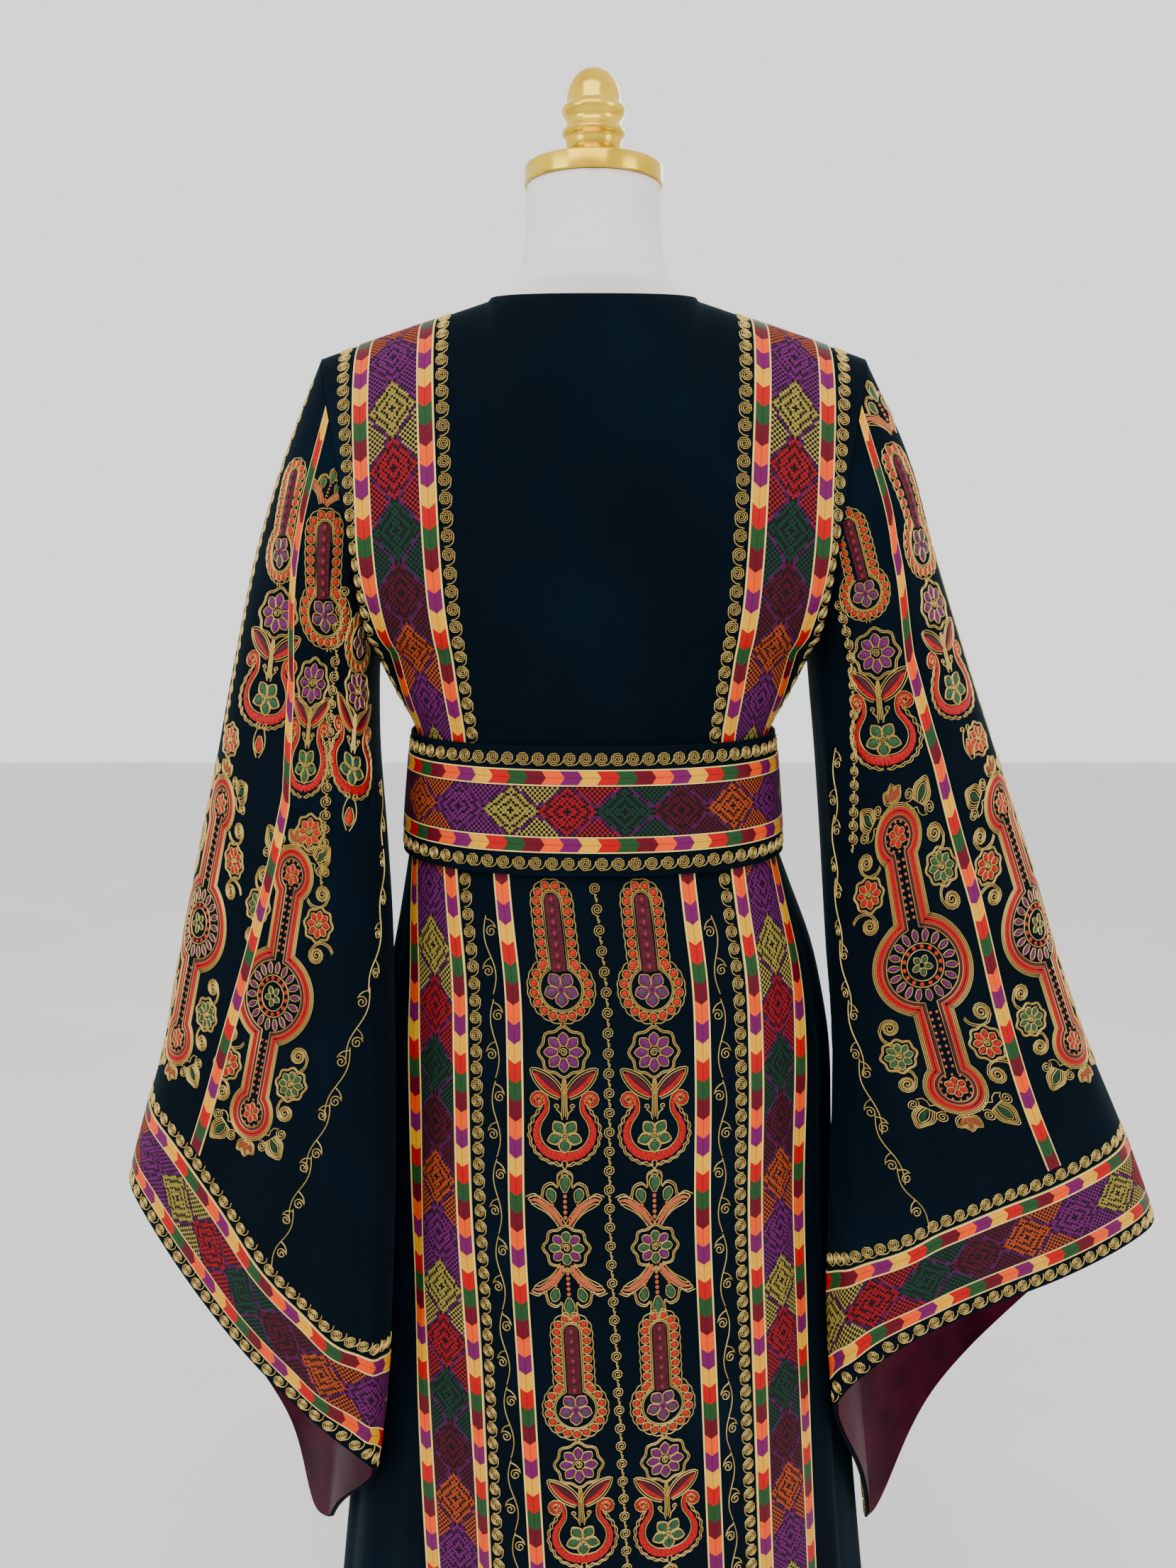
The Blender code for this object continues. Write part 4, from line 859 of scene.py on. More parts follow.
def piece(name, points, faces, paints, corners=None, face_paints=None, sharp=50):
    """A finished mesh that rides on the dress. Corners are the cloth map's values, face by face."""
    mesh = bpy.data.meshes.new(name)
    mesh.from_pydata(np.asarray(points).tolist(), [], [list(f) for f in faces])
    if corners is not None:
        layer = mesh.uv_layers.new(name="cloth")
        layer.data.foreach_set("uv", np.asarray(corners, float).ravel())
    mesh.shade_smooth()
    mesh.set_sharp_from_angle(angle=math.radians(sharp))
    for kind in paints:
        mesh.materials.append(FINISHES[kind].paint)
    if face_paints is not None:
        mesh.polygons.foreach_set("material_index", np.asarray(face_paints, dtype=np.int32))
    made = bpy.data.objects.new(name, mesh)
    bpy.context.scene.collection.objects.link(made)
    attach(made, "root")
    return made


def covering(node, points, faces, paint, corners=None, sharp=50):
    """A finished mesh that stands for one of the solids."""
    made = piece(f"{node}_{FINISHES[paint].ending}", points, faces, [paint], corners, sharp=sharp)
    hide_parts(node)
    return made


def close(grid):
    """The grid with its first column again at the end."""
    return np.concatenate([grid, grid[:, :1]], axis=1)


def numbers_of(rows, columns, start=0):
    """Point numbers of a grid, from the given one on."""
    return start + np.arange(rows * columns).reshape(rows, columns)


def cells(grid, flip=False):
    """The four corners of each cell of a grid, in the other direction if flipped."""
    corners = [grid[:-1, :-1], grid[:-1, 1:], grid[1:, 1:], grid[1:, :-1]]
    if flip:
        corners[1::2] = corners[::-2]
    return np.stack(corners, axis=2).reshape(-1, 4, *grid.shape[2:])


def wall(node, outside, inside, paint, wrap=False, u=None, v=None):
    """Thin shell between an outer and an inner grid. U and v are the cloth map's values: across
    and along the strip, each given by column, by row or for the whole grid."""
    rows, cols = outside.shape[:2]
    count = rows * cols
    index = numbers_of(rows, cols)
    if wrap:
        index = close(index)
    u = np.arange(index.shape[1]) * 4 * MM if u is None else u
    v = np.arange(rows)[:, None] * 4 * MM if v is None else v
    uv = np.stack([np.broadcast_to(u, index.shape), np.broadcast_to(v, index.shape)], axis=-1)
    faces = [cells(index), cells(index, True) + count]
    corners = [cells(uv), cells(uv, True)]
    rims = [(index[0], uv[0]), (index[-1][::-1], uv[-1][::-1])]
    if not wrap:
        rims += [(index[::-1, 0], uv[::-1, 0]), (index[:, -1], uv[:, -1])]
    for line, marks in rims:
        near, far = line[:-1], line[1:]
        faces.append(np.stack([far, near, near + count, far + count], -1))
        corners.append(np.stack([marks[1:], marks[:-1], marks[:-1], marks[1:]], -2))
    points = np.concatenate([outside.reshape(-1, 3), inside.reshape(-1, 3)])
    return covering(node, points, np.concatenate(faces), paint, np.concatenate(corners))


TRIM_SINK = 0.1 * MM
STRIP_STEP = 8 * MM
GORE_COLUMNS = 64
HANDS = {"left": LEFT, "right": RIGHT}


def strip(name, points, normals, paint, u, v, wrap=False):
    """Trim sewn on the cloth: points on the cloth's face, lifted by the trim's thickness."""
    return wall(name, points + normals * (SEAM_GAP + TAPE_THICK), points + normals * TRIM_SINK, paint,
                wrap, u, v)


def paint_of(trim):
    return "cross_stitch" if "band" in trim else "tape"


def upright_strip(name, surface, edges, hand, low, high, middle=None):
    """Strip that runs up a surface between two distances from its middle line, or that follows a
    line whose distance is given for each height."""
    up = steps(low, high, STRIP_STEP)
    half = (edges[1] - edges[0]) / 2
    offsets = steps(-half, half, STRIP_STEP / 2)
    centre = np.full(len(up), (edges[0] + edges[1]) / 2) if middle is None else middle(up)
    across = hand * (centre[:, None] + offsets[None, :])
    if hand < 0:
        across = across[:, ::-1]
    points, normals = surface.at(across, np.broadcast_to(up[:, None], across.shape))
    return strip(name, points, normals, paint_of(name), across - hand * centre[:, None], (high - up)[:, None])


def lined(node, surface):
    """The velvet wall under a surface."""
    return wall(node, surface.points, surface.points - surface.normals * VELVET, "velvet")


def build_skirt():
    """Four velvet panels, and the tapes and bands on the back and the front one."""
    made = {}
    for tag, share in (("back", 0.0), ("front", 0.5)):
        surface = skirt_surface(share, SKIRT_PANEL_HALF)
        panel = lined(f"skirt_{tag}", surface)
        trims = [trim for trim in SKIRT_TRIMS if tag == "back" or trim != "tape_centre"]
        turn = -1 if tag == "front" else 1
        strips = [upright_strip(f"skirt_{tag}_{trim}_{label}", surface, SKIRT_TRIMS[trim], turn * hand,
                                HEM_Z, WAIST_SEAM_Z - SEAM_GAP)
                  for label, hand in HANDS.items() for trim in trims]
        made[tag] = Cloth(panel, strips, surface)
    heights = made["back"].surface.up
    edge = SKIRT_PANEL_HALF + SEAM_GAP
    for label, share in (("right", 0.0), ("left", 0.5)):
        points = [around_at(z, lambda around: np.linspace(edge, around / 2 - edge, GORE_COLUMNS), share)
                  for z in heights]
        surface = Surface(np.array(points), np.arange(GORE_COLUMNS), heights)
        made[label] = Cloth(lined(f"skirt_side_{label}", surface), [], surface)
    return made


def build_bodice(side, tag):
    """One velvet bodice panel, with its band of tape, cross-stitch and tape on both sides."""
    surface = bodice_surface(side)
    panel = lined(f"bodice_{tag}", surface)
    turn = -1 if side == FRONT else 1
    strips = [upright_strip(f"bodice_{tag}_{trim}_{label}", surface,
                            (CENTRE_REACH + low, CENTRE_REACH + high), turn * hand, 0.0, surface.up[-1])
              for label, hand in HANDS.items() for trim, (low, high) in BODICE_TRIMS.items()]
    return Cloth(panel, strips, surface)


BELT_LIFT = 2.9 * MM
BELT_THICK = 2.0 * MM
BELT_TRIMS = {"belt_tape_lower": (16.5 * MM, 28.0 * MM), "belt_band": (28.5 * MM, 63.0 * MM),
              "belt_tape_upper": (63.5 * MM, 75.0 * MM)}
BELT_TALL = BELT_TOP_Z - BELT_BOTTOM_Z
BELT_COLUMNS = 200
BELT_WAVE = 0.5 * MM


def belt_rows(lift, heights):
    """Closed rows of the belt at the given heights above its lower edge, with a faint uneven wave."""
    ends = []
    for z in (BELT_BOTTOM_Z, BELT_TOP_Z):
        loop = ring(z, lift)
        ends.append(along(loop, np.arange(BELT_COLUMNS) / BELT_COLUMNS * length(loop)))
    rows = []
    turn = 2 * np.pi * np.arange(BELT_COLUMNS) / BELT_COLUMNS
    for height in heights:
        share = height / BELT_TALL
        row = ends[0] * (1 - share) + ends[1] * share
        out = unit(row * np.array([1, 1, 0]))
        wave = np.sin(7 * turn + 3 * share) * 0.6 + np.sin(17 * turn + 1.3 - 2 * share) * 0.4
        row = row + out * (BELT_WAVE * (1 + wave) * math.sin(math.pi * share))[:, None]
        row[:, 2] = BELT_BOTTOM_Z + height
        rows.append(row)
    return np.array(rows)


def build_belt():
    """Velvet belt round the waist, with a cross-stitch band between two chevron tapes."""
    heights = steps(0, BELT_TALL, 4.5 * MM)
    outside = belt_rows(BELT_LIFT + BELT_THICK, heights)
    belt = wall("belt", outside, belt_rows(BELT_LIFT, heights), "velvet", wrap=True)
    half = length(close(outside[:1])[0]) / 2
    points, normals = (close(np.roll(grid, -(BELT_COLUMNS // 2), axis=1))
                       for grid in (outside, grid_normals(outside, True)))
    marks = np.linspace(-half, half, BELT_COLUMNS + 1)
    surface = Surface(points, marks, heights, normals)
    strips = []
    for name, edges in BELT_TRIMS.items():
        levels = steps(*edges, STRIP_STEP / 2)
        points, normals = surface.at(*np.meshgrid(marks[:-1], levels))
        strips.append(strip(name, points, normals, paint_of(name), (levels - levels.mean())[:, None],
                            marks[None, :] + half, wrap=True))
    return Cloth(belt, strips, surface)


LINING_INSET = 2.0 * MM
LINING_GAP = 1.0 * MM
LINING_ROWS = 35


def build_sleeve(hand, label):
    """Velvet sleeve with its cuff trim and its two tapes, and the satin lining inside it."""
    grid, normals, surface = sleeve_shape(hand)
    points, out = (part if hand == LEFT else part[:, ::-1] for part in (grid, normals))
    sleeve = wall(f"sleeve_{label}", points, points - out * VELVET, "velvet", wrap=True)
    strips = []
    for trim, (low, high) in CUFF_TRIMS.items():
        rows = [k for k, h in enumerate(CUFF_HEIGHTS) if low <= h <= high]
        levels = np.array(CUFF_HEIGHTS)[rows]
        marks = reach_along(close(points[rows[-1:]])[0])
        strips.append(strip(f"cuff_{trim}_{label}", points[rows], out[rows], paint_of(trim),
                            (levels - levels.mean())[:, None], marks[None, :], wrap=True))
    for face, side in (("back", 1), ("front", -1)):
        strips.append(upright_strip(
            f"sleeve_tape_{face}_{label}", surface, (-SLEEVE_TAPE_HALF, SLEEVE_TAPE_HALF), side,
            CUFF_TOP, CUFF_TOP + SLEEVE_RISE,
            lambda up: stripe_across(1 - (up - CUFF_TOP) / SLEEVE_RISE, hand)))
    inner = points[:LINING_ROWS].copy()
    rise = np.linalg.norm(points[1] - points[0], axis=1, keepdims=True)
    inner[0] += (points[1] - points[0]) * np.minimum(LINING_INSET / rise, 0.99)
    inner -= out[:LINING_ROWS] * (VELVET + LINING_GAP)
    lining = wall(f"sleeve_lining_{label}", inner, inner - out[:LINING_ROWS] * SATIN, "satin", wrap=True)
    edge = slice(0, len(CUFF_HEIGHTS) + 1)
    closed = close(points[edge])
    cuff = Surface(closed, reach_along(closed[len(CUFF_HEIGHTS) // 2]), surface.up[edge], close(out[edge]))
    return Cloth(sleeve, strips, surface), lining, cuff


FORM_BOTTOM_Z = 0.800
FORM_LOW = Table("z inset", (FORM_BOTTOM_Z, 16 * MM), (0.870, 15 * MM), (0.930, 13 * MM), (0.985, 8 * MM),
                 (WAIST_SEAM_Z, 6 * MM), (1.104, 6 * MM), (CHEST_Z, 6 * MM))
FORM_HIGH = Table("share inset", (0.0, 5.5 * MM), (0.7, 5.0 * MM), (0.94, 3.4 * MM), (1.0, 2.7 * MM))
FORM_NECK_PART = 0.388
NECK_EASE = 6.5 * MM
NECK = Table("z half depth centre_y", (1.418, 0.0600, 0.0500, 0.000), (1.430, 0.0545, 0.0500, 0.001),
             (1.452, 0.0495, 0.0485, 0.003), (1.489, 0.0478, 0.0478, 0.004))
NECK_AXIS_Y = 0.004
FORM_ACROSS = np.concatenate([np.linspace(0, FORM_NECK_PART, 15),
                              1 - (1 - FORM_NECK_PART) * np.cos(np.linspace(0, np.pi / 2, 16)[1:])])


def quarter_loop(back, front):
    """Closed loop from the middle of the back towards +X, from the right halves of both faces."""
    mirror = np.array([-1.0, 1.0, 1.0])
    return np.concatenate([back, front[::-1], front[1:] * mirror, back[:0:-1] * mirror])


def form_loops():
    """Closed loops of the padded form from its lower edge to the top of the neck."""
    loops = []
    for z in steps(FORM_BOTTOM_Z, CHEST_Z, 12 * MM):
        inset = float(np.interp(z, FORM_LOW.z, FORM_LOW.inset))
        half = float(section_value("half", z)) - inset
        faces = []
        for side in (BACK, FRONT):
            depth = float(section_value(SIDE_NAME[side], z)) - inset
            y = side * depth * (1 - FORM_ACROSS**ROUNDNESS).clip(0) ** (1 / ROUNDNESS)
            faces.append(np.stack([half * FORM_ACROSS, y, np.full_like(y, z)], axis=1))
        loops.append(quarter_loop(*faces))
    for share in np.sin((np.arange(1, 25) / 24) ** 1.3 * math.pi / 2) ** (2 / OVER_SHOULDER):
        inset = float(np.interp(share, FORM_HIGH.share, FORM_HIGH.inset))
        loops.append(quarter_loop(*(np.array([form_shoulder(a, share, side, inset) for a in FORM_ACROSS])
                                    for side in (BACK, FRONT))))
    return loops


def form_shoulder(across, share, side, inset):
    """Point of the form above the armpits, drawn in a little more towards the root of the neck."""
    ease = NECK_EASE * share**4 * float(np.clip((0.6 - across) / 0.15, 0, 1))
    return upper_body(across * (chest_width(share) - inset), share, side, inset + ease)


SEAM_WIDTH = 1.6 * MM
SEAM_DEPTH = 0.8 * MM
NECK_SEAM_Z = 1.430


def build_form():
    """Padded torso under the dress, whose open top loop goes on up as the neck, with its seams."""
    loops = form_loops()
    neck_at = int(np.argmin(np.abs(FORM_ACROSS - FORM_NECK_PART)))
    wide = len(loops[0])
    middle = 2 * len(FORM_ACROSS) - 1
    around = np.r_[0:neck_at + 1, middle - neck_at:middle + neck_at + 1, wide - neck_at:wide]
    start = loops[-1][around]
    turns = np.arctan2(start[:, 0], -start[:, 1])
    rings = [start]
    for z in steps(NECK.z[0], NECK.z[-1], 2.5 * MM):
        half, depth, centre = (hermite(NECK.z, part, z) for part in (NECK.half, NECK.depth, NECK.centre_y))
        groove = SEAM_DEPTH * math.exp(-((z - NECK_SEAM_Z) / SEAM_WIDTH) ** 2)
        groove += SEAM_DEPTH * np.exp(-(np.sin(turns / 2) * 2 * half / SEAM_WIDTH) ** 2) * (z > NECK.z[1])
        rings.append(np.stack([(half - groove) * np.sin(turns), centre - (depth - groove) * np.cos(turns),
                               np.full_like(turns, z)], axis=1))
    torso = numbers_of(len(loops), wide)
    neck = numbers_of(len(rings), len(around), torso.size)
    faces = [*cells(close(torso)), *cells(close(neck)), torso[0, ::-1], neck[-1]]
    form = covering("form_torso", np.concatenate(loops + rings), faces, "linen")
    weld(form, 0.02 * MM)
    return form


def weld(thing, reach):
    """Joins points that lie on each other, such as the two faces of the form along the shoulders."""
    work = bmesh.new()
    work.from_mesh(thing.data)
    bmesh.ops.remove_doubles(work, verts=work.verts, dist=reach)
    bmesh.ops.dissolve_degenerate(work, edges=work.edges, dist=reach)
    work.to_mesh(thing.data)
    work.free()


CAP_PROFILE = [
    (0, 1.4893), (0.0488, 1.4893), (0.0496, 1.4895), (0.0500, 1.4900), (0.0500, 1.5005), (0.0498, 1.5013),
    (0.0492, 1.5019), (0.0485, 1.5022), (0.0250, 1.5029), (0, 1.5032)]
FINIAL_PROFILE = [
    (0, 1.5035), (0.0116, 1.5035), (0.0120, 1.5037), (0.0120, 1.5052), (0.0126, 1.5062), (0.0146, 1.5082),
    (0.0170, 1.5110), (0.0190, 1.5142), (0.0200, 1.5180), (0.0203, 1.5200), (0.0213, 1.5214),
    (0.0225, 1.5228), (0.0230, 1.5242), (0.0226, 1.5256), (0.0214, 1.5272), (0.0202, 1.5290),
    (0.0196, 1.5312), (0.0199, 1.5330), (0.0208, 1.5346), (0.0221, 1.5364), (0.0230, 1.5384),
    (0.0230, 1.5398), (0.0222, 1.5412), (0.0208, 1.5424), (0.0198, 1.5436), (0.0195, 1.5460),
    (0.0193, 1.5490), (0.0186, 1.5524), (0.0173, 1.5560), (0.0152, 1.5598), (0.0124, 1.5631),
    (0.0090, 1.5655), (0.0050, 1.5668), (0, 1.5672)]
BASE_PROFILE = [
    (0, 0), (0.1490, 0), (0.1512, 0.0006), (0.1520, 0.0022), (0.1518, 0.0038), (0.1508, 0.0062),
    (0.1480, 0.0084), (0.1400, 0.0096), (0.1100, 0.0117), (0.0800, 0.0136), (0.0600, 0.0150),
    (0.0450, 0.0168), (0.0330, 0.0196), (0.0262, 0.0226), (0.0246, 0.0237), (0.0236, 0.0240), (0, 0.0240)]
POLE_RADIUS = 0.0125
POLE_FOOT_Z = 0.0243


def turned(name, profile, centre_y=0.0, sides=96):
    """Turned and polished metal: a profile of radius and height from the axis back to the axis."""
    angle = 2 * np.pi * np.arange(sides) / sides
    points = [(0, centre_y, profile[0][1])]
    for radius, z in profile[1:-1]:
        points += [(radius * math.cos(a), centre_y + radius * math.sin(a), z) for a in angle]
    points.append((0, centre_y, profile[-1][1]))
    index = close(numbers_of(len(profile) - 2, sides, 1))
    faces = [*cells(index), *((0, far, near) for near, far in zip(index[0], index[0, 1:])),
             *((near, far, len(points) - 1) for near, far in zip(index[-1], index[-1, 1:]))]
    return covering(name, points, faces, "gold", sharp=35)


def build_stand():
    """Gold cap and finial on the neck, and the pole and round base under the form."""
    turned("neck_cap", CAP_PROFILE, NECK_AXIS_Y)
    turned("finial", FINIAL_PROFILE, NECK_AXIS_Y)
    low, high = POLE_FOOT_Z, FORM_BOTTOM_Z - SEAM_GAP
    turned("stand_pole", [(0, low), (POLE_RADIUS, low), (POLE_RADIUS, high), (0, high)], sides=48)
    turned("stand_base", BASE_PROFILE)


def light(name, place, aim, energy, size, colour):
    """Soft studio light at a place, turned towards the point that it lights."""
    lamp = bpy.data.lights.new(name, "AREA")
    lamp.energy = energy
    lamp.color = colour
    lamp.shape = "RECTANGLE"
    lamp.size, lamp.size_y = size
    thing = bpy.data.objects.new(name, lamp)
    thing.location = place
    thing.rotation_euler = (Vector(aim) - Vector(place)).to_track_quat("-Z", "Y").to_euler()
    bpy.context.scene.collection.objects.link(thing)


def studio():
    """Plain pale floor, even room light, and soft lights from above and both sides."""
    mesh = bpy.data.meshes.new("floor")
    mesh.from_pydata([(-6, -6, 0), (6, -6, 0), (6, 6, 0), (-6, 6, 0)], [], [(0, 1, 2, 3)])
    floor = bpy.data.objects.new("floor", mesh)
    bpy.context.scene.collection.objects.link(floor)
    paint, tree, place = new_paint("painted_floor")
    tint = ramp(tree, noise(tree, place, 3.0), (0.3, "#d6d4d2"), (0.7, "#dcdad8"))
    mesh.materials.append(cover(paint, tint, 0.9))
    world = bpy.data.worlds.new("room")
    world.use_nodes = True
    plug(world.node_tree, world.node_tree.nodes["Background"], {"Color": "#f0eff0", "Strength": 1.75})
    bpy.context.scene.world = world
    light("ceiling", (-0.3, -1.6, 2.9), (0, 0, 1.1), 30, (2.4, 1.4), (1.0, 0.98, 0.95))
    light("window", (-2.2, -1.5, 1.7), (0, 0, 1.0), 18, (1.2, 1.8), (0.94, 0.97, 1.0))
    light("side", (2.2, -1.2, 1.6), (0, 0, 1.0), 14, (1.0, 1.8), (1.0, 0.98, 0.96))
    light("behind", (0.4, 2.4, 2.3), (0, 0, 1.1), 22, (2.0, 1.2), (1.0, 1.0, 1.0))


CAMERA_PLACE = (-0.004, -0.94, 1.237)
CAMERA_PITCH = math.radians(90 - 11.1)


def camera():
    """Camera of the photograph, close behind the dress and tipped down."""
    lens = bpy.data.cameras.new("camera")
    lens.sensor_width = 36.0
    lens.lens = 28.0
    lens.clip_start = 0.02
    thing = bpy.data.objects.new("camera", lens)
    thing.location = CAMERA_PLACE
    thing.rotation_euler = (CAMERA_PITCH, 0, 0)
    bpy.context.scene.collection.objects.link(thing)
    bpy.context.scene.camera = thing


CORD = 0.45 * MM
COIL_PITCH = 11.8


def on_circle(x, y, radius, turn):
    """Points at angles in degrees from +x towards +y, which is down; radius may change along them."""
    turn = np.radians(turn)
    return np.stack([x + radius * np.cos(turn), y + radius * np.sin(turn)], axis=-1)


def circle(x, y, radius, count=12, start=0.0, end=360.0):
    """Points of a circle or arc in millimetres."""
    return on_circle(x, y, radius, np.linspace(start, end, count + 1))


def spiral(x, y, inner, outer, turns, end, way=1, step=42):
    """Spiral from the inside out that ends at the given angle; way is 1 clockwise, -1 the other way."""
    count = max(4, int(round(turns * 360 / step)))
    share = np.linspace(0, 1, count + 1) ** 0.8
    return on_circle(x, y, inner + (outer - inner) * share, end - way * 360 * turns * (1 - share))


def between(a, b, c, d, t):
    """Smooth way from b to c, given the points before and after them."""
    return 0.5 * (2 * b + (c - a) * t + (2 * a - 5 * b + 4 * c - d) * t**2 + (3 * b - a - 3 * c + d) * t**3)


def curve(points, step=2.4):
    """Smooth line through the points, about a step apart."""
    points = np.asarray(points, float)
    chain = np.concatenate([[2 * points[0] - points[1]], points, [2 * points[-1] - points[-2]]])
    share = np.arange(8)[:, None] / 8
    found = [between(*four, share) for four in zip(chain, chain[1:], chain[2:], chain[3:])]
    found = np.concatenate(found + [points[-1:]])
    return along(found, steps(0, length(found), step))


def aside(points):
    """Unit steps to the left of a line."""
    ahead = unit(np.gradient(points, axis=0))
    return np.stack([ahead[:, 1], -ahead[:, 0]], axis=1)


def beside(points, apart):
    """The line at a distance to its left."""
    return points + apart * aside(points)


def scallops(points, pitch, depth, step=1.75):
    """The line drawn out in small round waves."""
    line = along(points, steps(0, length(points), step))
    wave = np.abs(np.sin(np.pi * reach_along(line) / pitch))
    return line + aside(line) * (wave * depth)[:, None]


def moved(points, x=0.0, y=0.0, turn=0.0, flip=1):
    """Points turned by degrees, flipped left to right and shifted."""
    points = np.asarray(points, float)
    cos, sin = math.cos(math.radians(turn)), math.sin(math.radians(turn))
    turned_x = (points[:, 0] * cos - points[:, 1] * sin) * flip
    return np.stack([turned_x + x, points[:, 0] * sin + points[:, 1] * cos + y], axis=1)


def leaf_widths(start, end, count, half=1.0, ease=0.8, lean=1.0):
    """Half widths of a leaf that swells between its ends; lean moves its widest part."""
    return half * np.sin(np.pi * np.clip(np.linspace(start, end, count), 0, 1) ** lean) ** ease


class Drawing:
    """Embroidery drawn flat in millimetres, x to the right and y down: gold cords and satin fills."""

    def __init__(self):
        self.cords = []
        self.fills = []

    def cord(self, *parts):
        """Gold cord along a line, or along several that follow each other."""
        self.cords.append(np.concatenate([np.asarray(part, float) for part in parts]))
        return self

    def pair(self, *parts):
        """Gold cord and its mirror image."""
        return self.cord(*parts).add(Drawing().cord(*parts), flip=-1)

    def fill(self, paint, points, widths, rise=0.8):
        """Satin stitch along a line, with its half width at every point."""
        self.fills.append((paint, np.asarray(points, float), np.broadcast_to(widths, len(points)), rise))

    def dot(self, paint, x, y, radius, ring=None, rise=0.9):
        turn = np.linspace(0.12, math.pi - 0.12, 5)
        line = np.stack([np.full(5, x), y - radius * np.cos(turn)], axis=1)
        self.fill(paint, line, radius * np.sin(turn), rise)
        if ring:
            self.cord(circle(x, y, ring, 8))

    def drop(self, paint, x, y, near, far, half, turn, edge=0.9, rise=0.8):
        """Petal from a centre outwards, pointed at the near end; turn 0 points up."""
        widths = leaf_widths(0.05, 0.98, 8, half, lean=1.35)
        line = np.stack([np.zeros(8), -np.linspace(near, far, 8)], axis=1)
        self.fill(paint, moved(line, x, y, turn), widths, rise)
        right = line + (widths[:, None] + edge) * [1, 0]
        outline = np.concatenate([right, [[0, -far - edge]], (right * [-1, 1])[::-1], right[:1]])
        self.cord(moved(curve(outline, 2.3), x, y, turn))

    def petals(self, paint, count, near, far, half, start=0, **looks):
        """Petals all round the middle."""
        for k in range(count):
            self.drop(paint, 0, 0, near, far, half, 360 / count * k + start, **looks)

    def add(self, other, x=0.0, y=0.0, turn=0.0, flip=1, scale=1.0):
        for line in other.cords:
            self.cords.append(moved(line * scale, x, y, turn, flip))
        for paint, line, widths, rise in other.fills:
            self.fills.append((paint, moved(line * scale, x, y, turn, flip), widths * scale, rise))
        return self


def small_flower():
    """Five purple petals with green hearts round a dark eye, as in the round end of the key."""
    drawing = Drawing()
    for turn in range(180, 540, 72):
        drawing.drop("purple", 0, 0, 2.5, 11.6, 3.6, turn)
        drawing.drop("green", 0, 0, 4.6, 9.6, 1.3, turn, edge=0.6, rise=1.5)
    drawing.dot("purple", 0, 0, 2.8, rise=1.6)
    drawing.dot("maroon", 0, 0, 1.2, rise=2.0)
    return drawing


def key():
    """Long beaded key: maroon stem and round end, edged with orange dots and gold cord."""
    drawing = Drawing()
    drawing.fill("maroon", [(0, y) for y in steps(4.5, 57.0, 6)], 5.0, 0.5)
    for k in range(7):
        drawing.dot("maroon", 0, 8.0 + 7.6 * k, 3.9, rise=1.3)
        drawing.dot("rose", 0, 8.0 + 7.6 * k, 1.7, rise=2.0)
    for reach, ring in ((6.2, 14.8), (7.4, 16.0)):
        opening = math.degrees(math.asin(reach / ring))
        arch = circle(0, 9, reach, 8, 180, 360)
        drawing.cord(arch, circle(0, 69, ring, 26, -90 + opening, 270 - opening), arch[:1])
    dots = [(side * 10.7, 9.0 + 7.1 * k) for side in (-1, 1) for k in range(7)]
    dots += [*on_circle(0, 9, 10.7, np.array([-148, -109, -71, -32])), *circle(0, 69, 19.6, 14, -52, 232)]
    for x, y in dots:
        drawing.dot("orange", x, y, 2.4, 3.2)
    start = math.degrees(math.asin(14.6 / 23.6))
    round_end = circle(0, 69, 23.6, 30, -90 + start, 90)
    right = np.concatenate([circle(0, 9, 14.6, 6, -90, 0), round_end, [[1.5, 95.5]]])
    drawing.pair(scallops(right, 7.1, 0.9))
    return drawing.add(small_flower(), 0, 69)


def daisy(paints=("purple",), reach=13.3, contour=17.0):
    """Eight petals round a gold spiral, inside a lobed gold contour."""
    drawing = Drawing()
    for k in range(8):
        drawing.drop(paints[k % len(paints)], 0, 0, 4.2, reach, reach * 0.21, 45 * k, edge=0.8)
    drawing.cord(spiral(0, 0, 0.6, 3.1, 1.8, 0))
    turn = np.arange(0, 361, 9)
    for grow in (-0.8, 0.5):
        drawing.cord(on_circle(0, 0, contour + grow + 1.2 * np.cos(np.radians(8 * turn)), turn - 90))
    return drawing


def clover():
    """Five green petals, each edged with two gold cords."""
    drawing = Drawing()
    for turn in range(180, 540, 72):
        drawing.drop("green", 0, 0, 2.2, 11.5, 3.0, turn)
        drawing.drop("green", 0, 0, 4.0, 9.5, 1.2, turn, edge=3.4)
    return drawing.cord(spiral(0, 0, 0.4, 1.8, 1.2, 0))


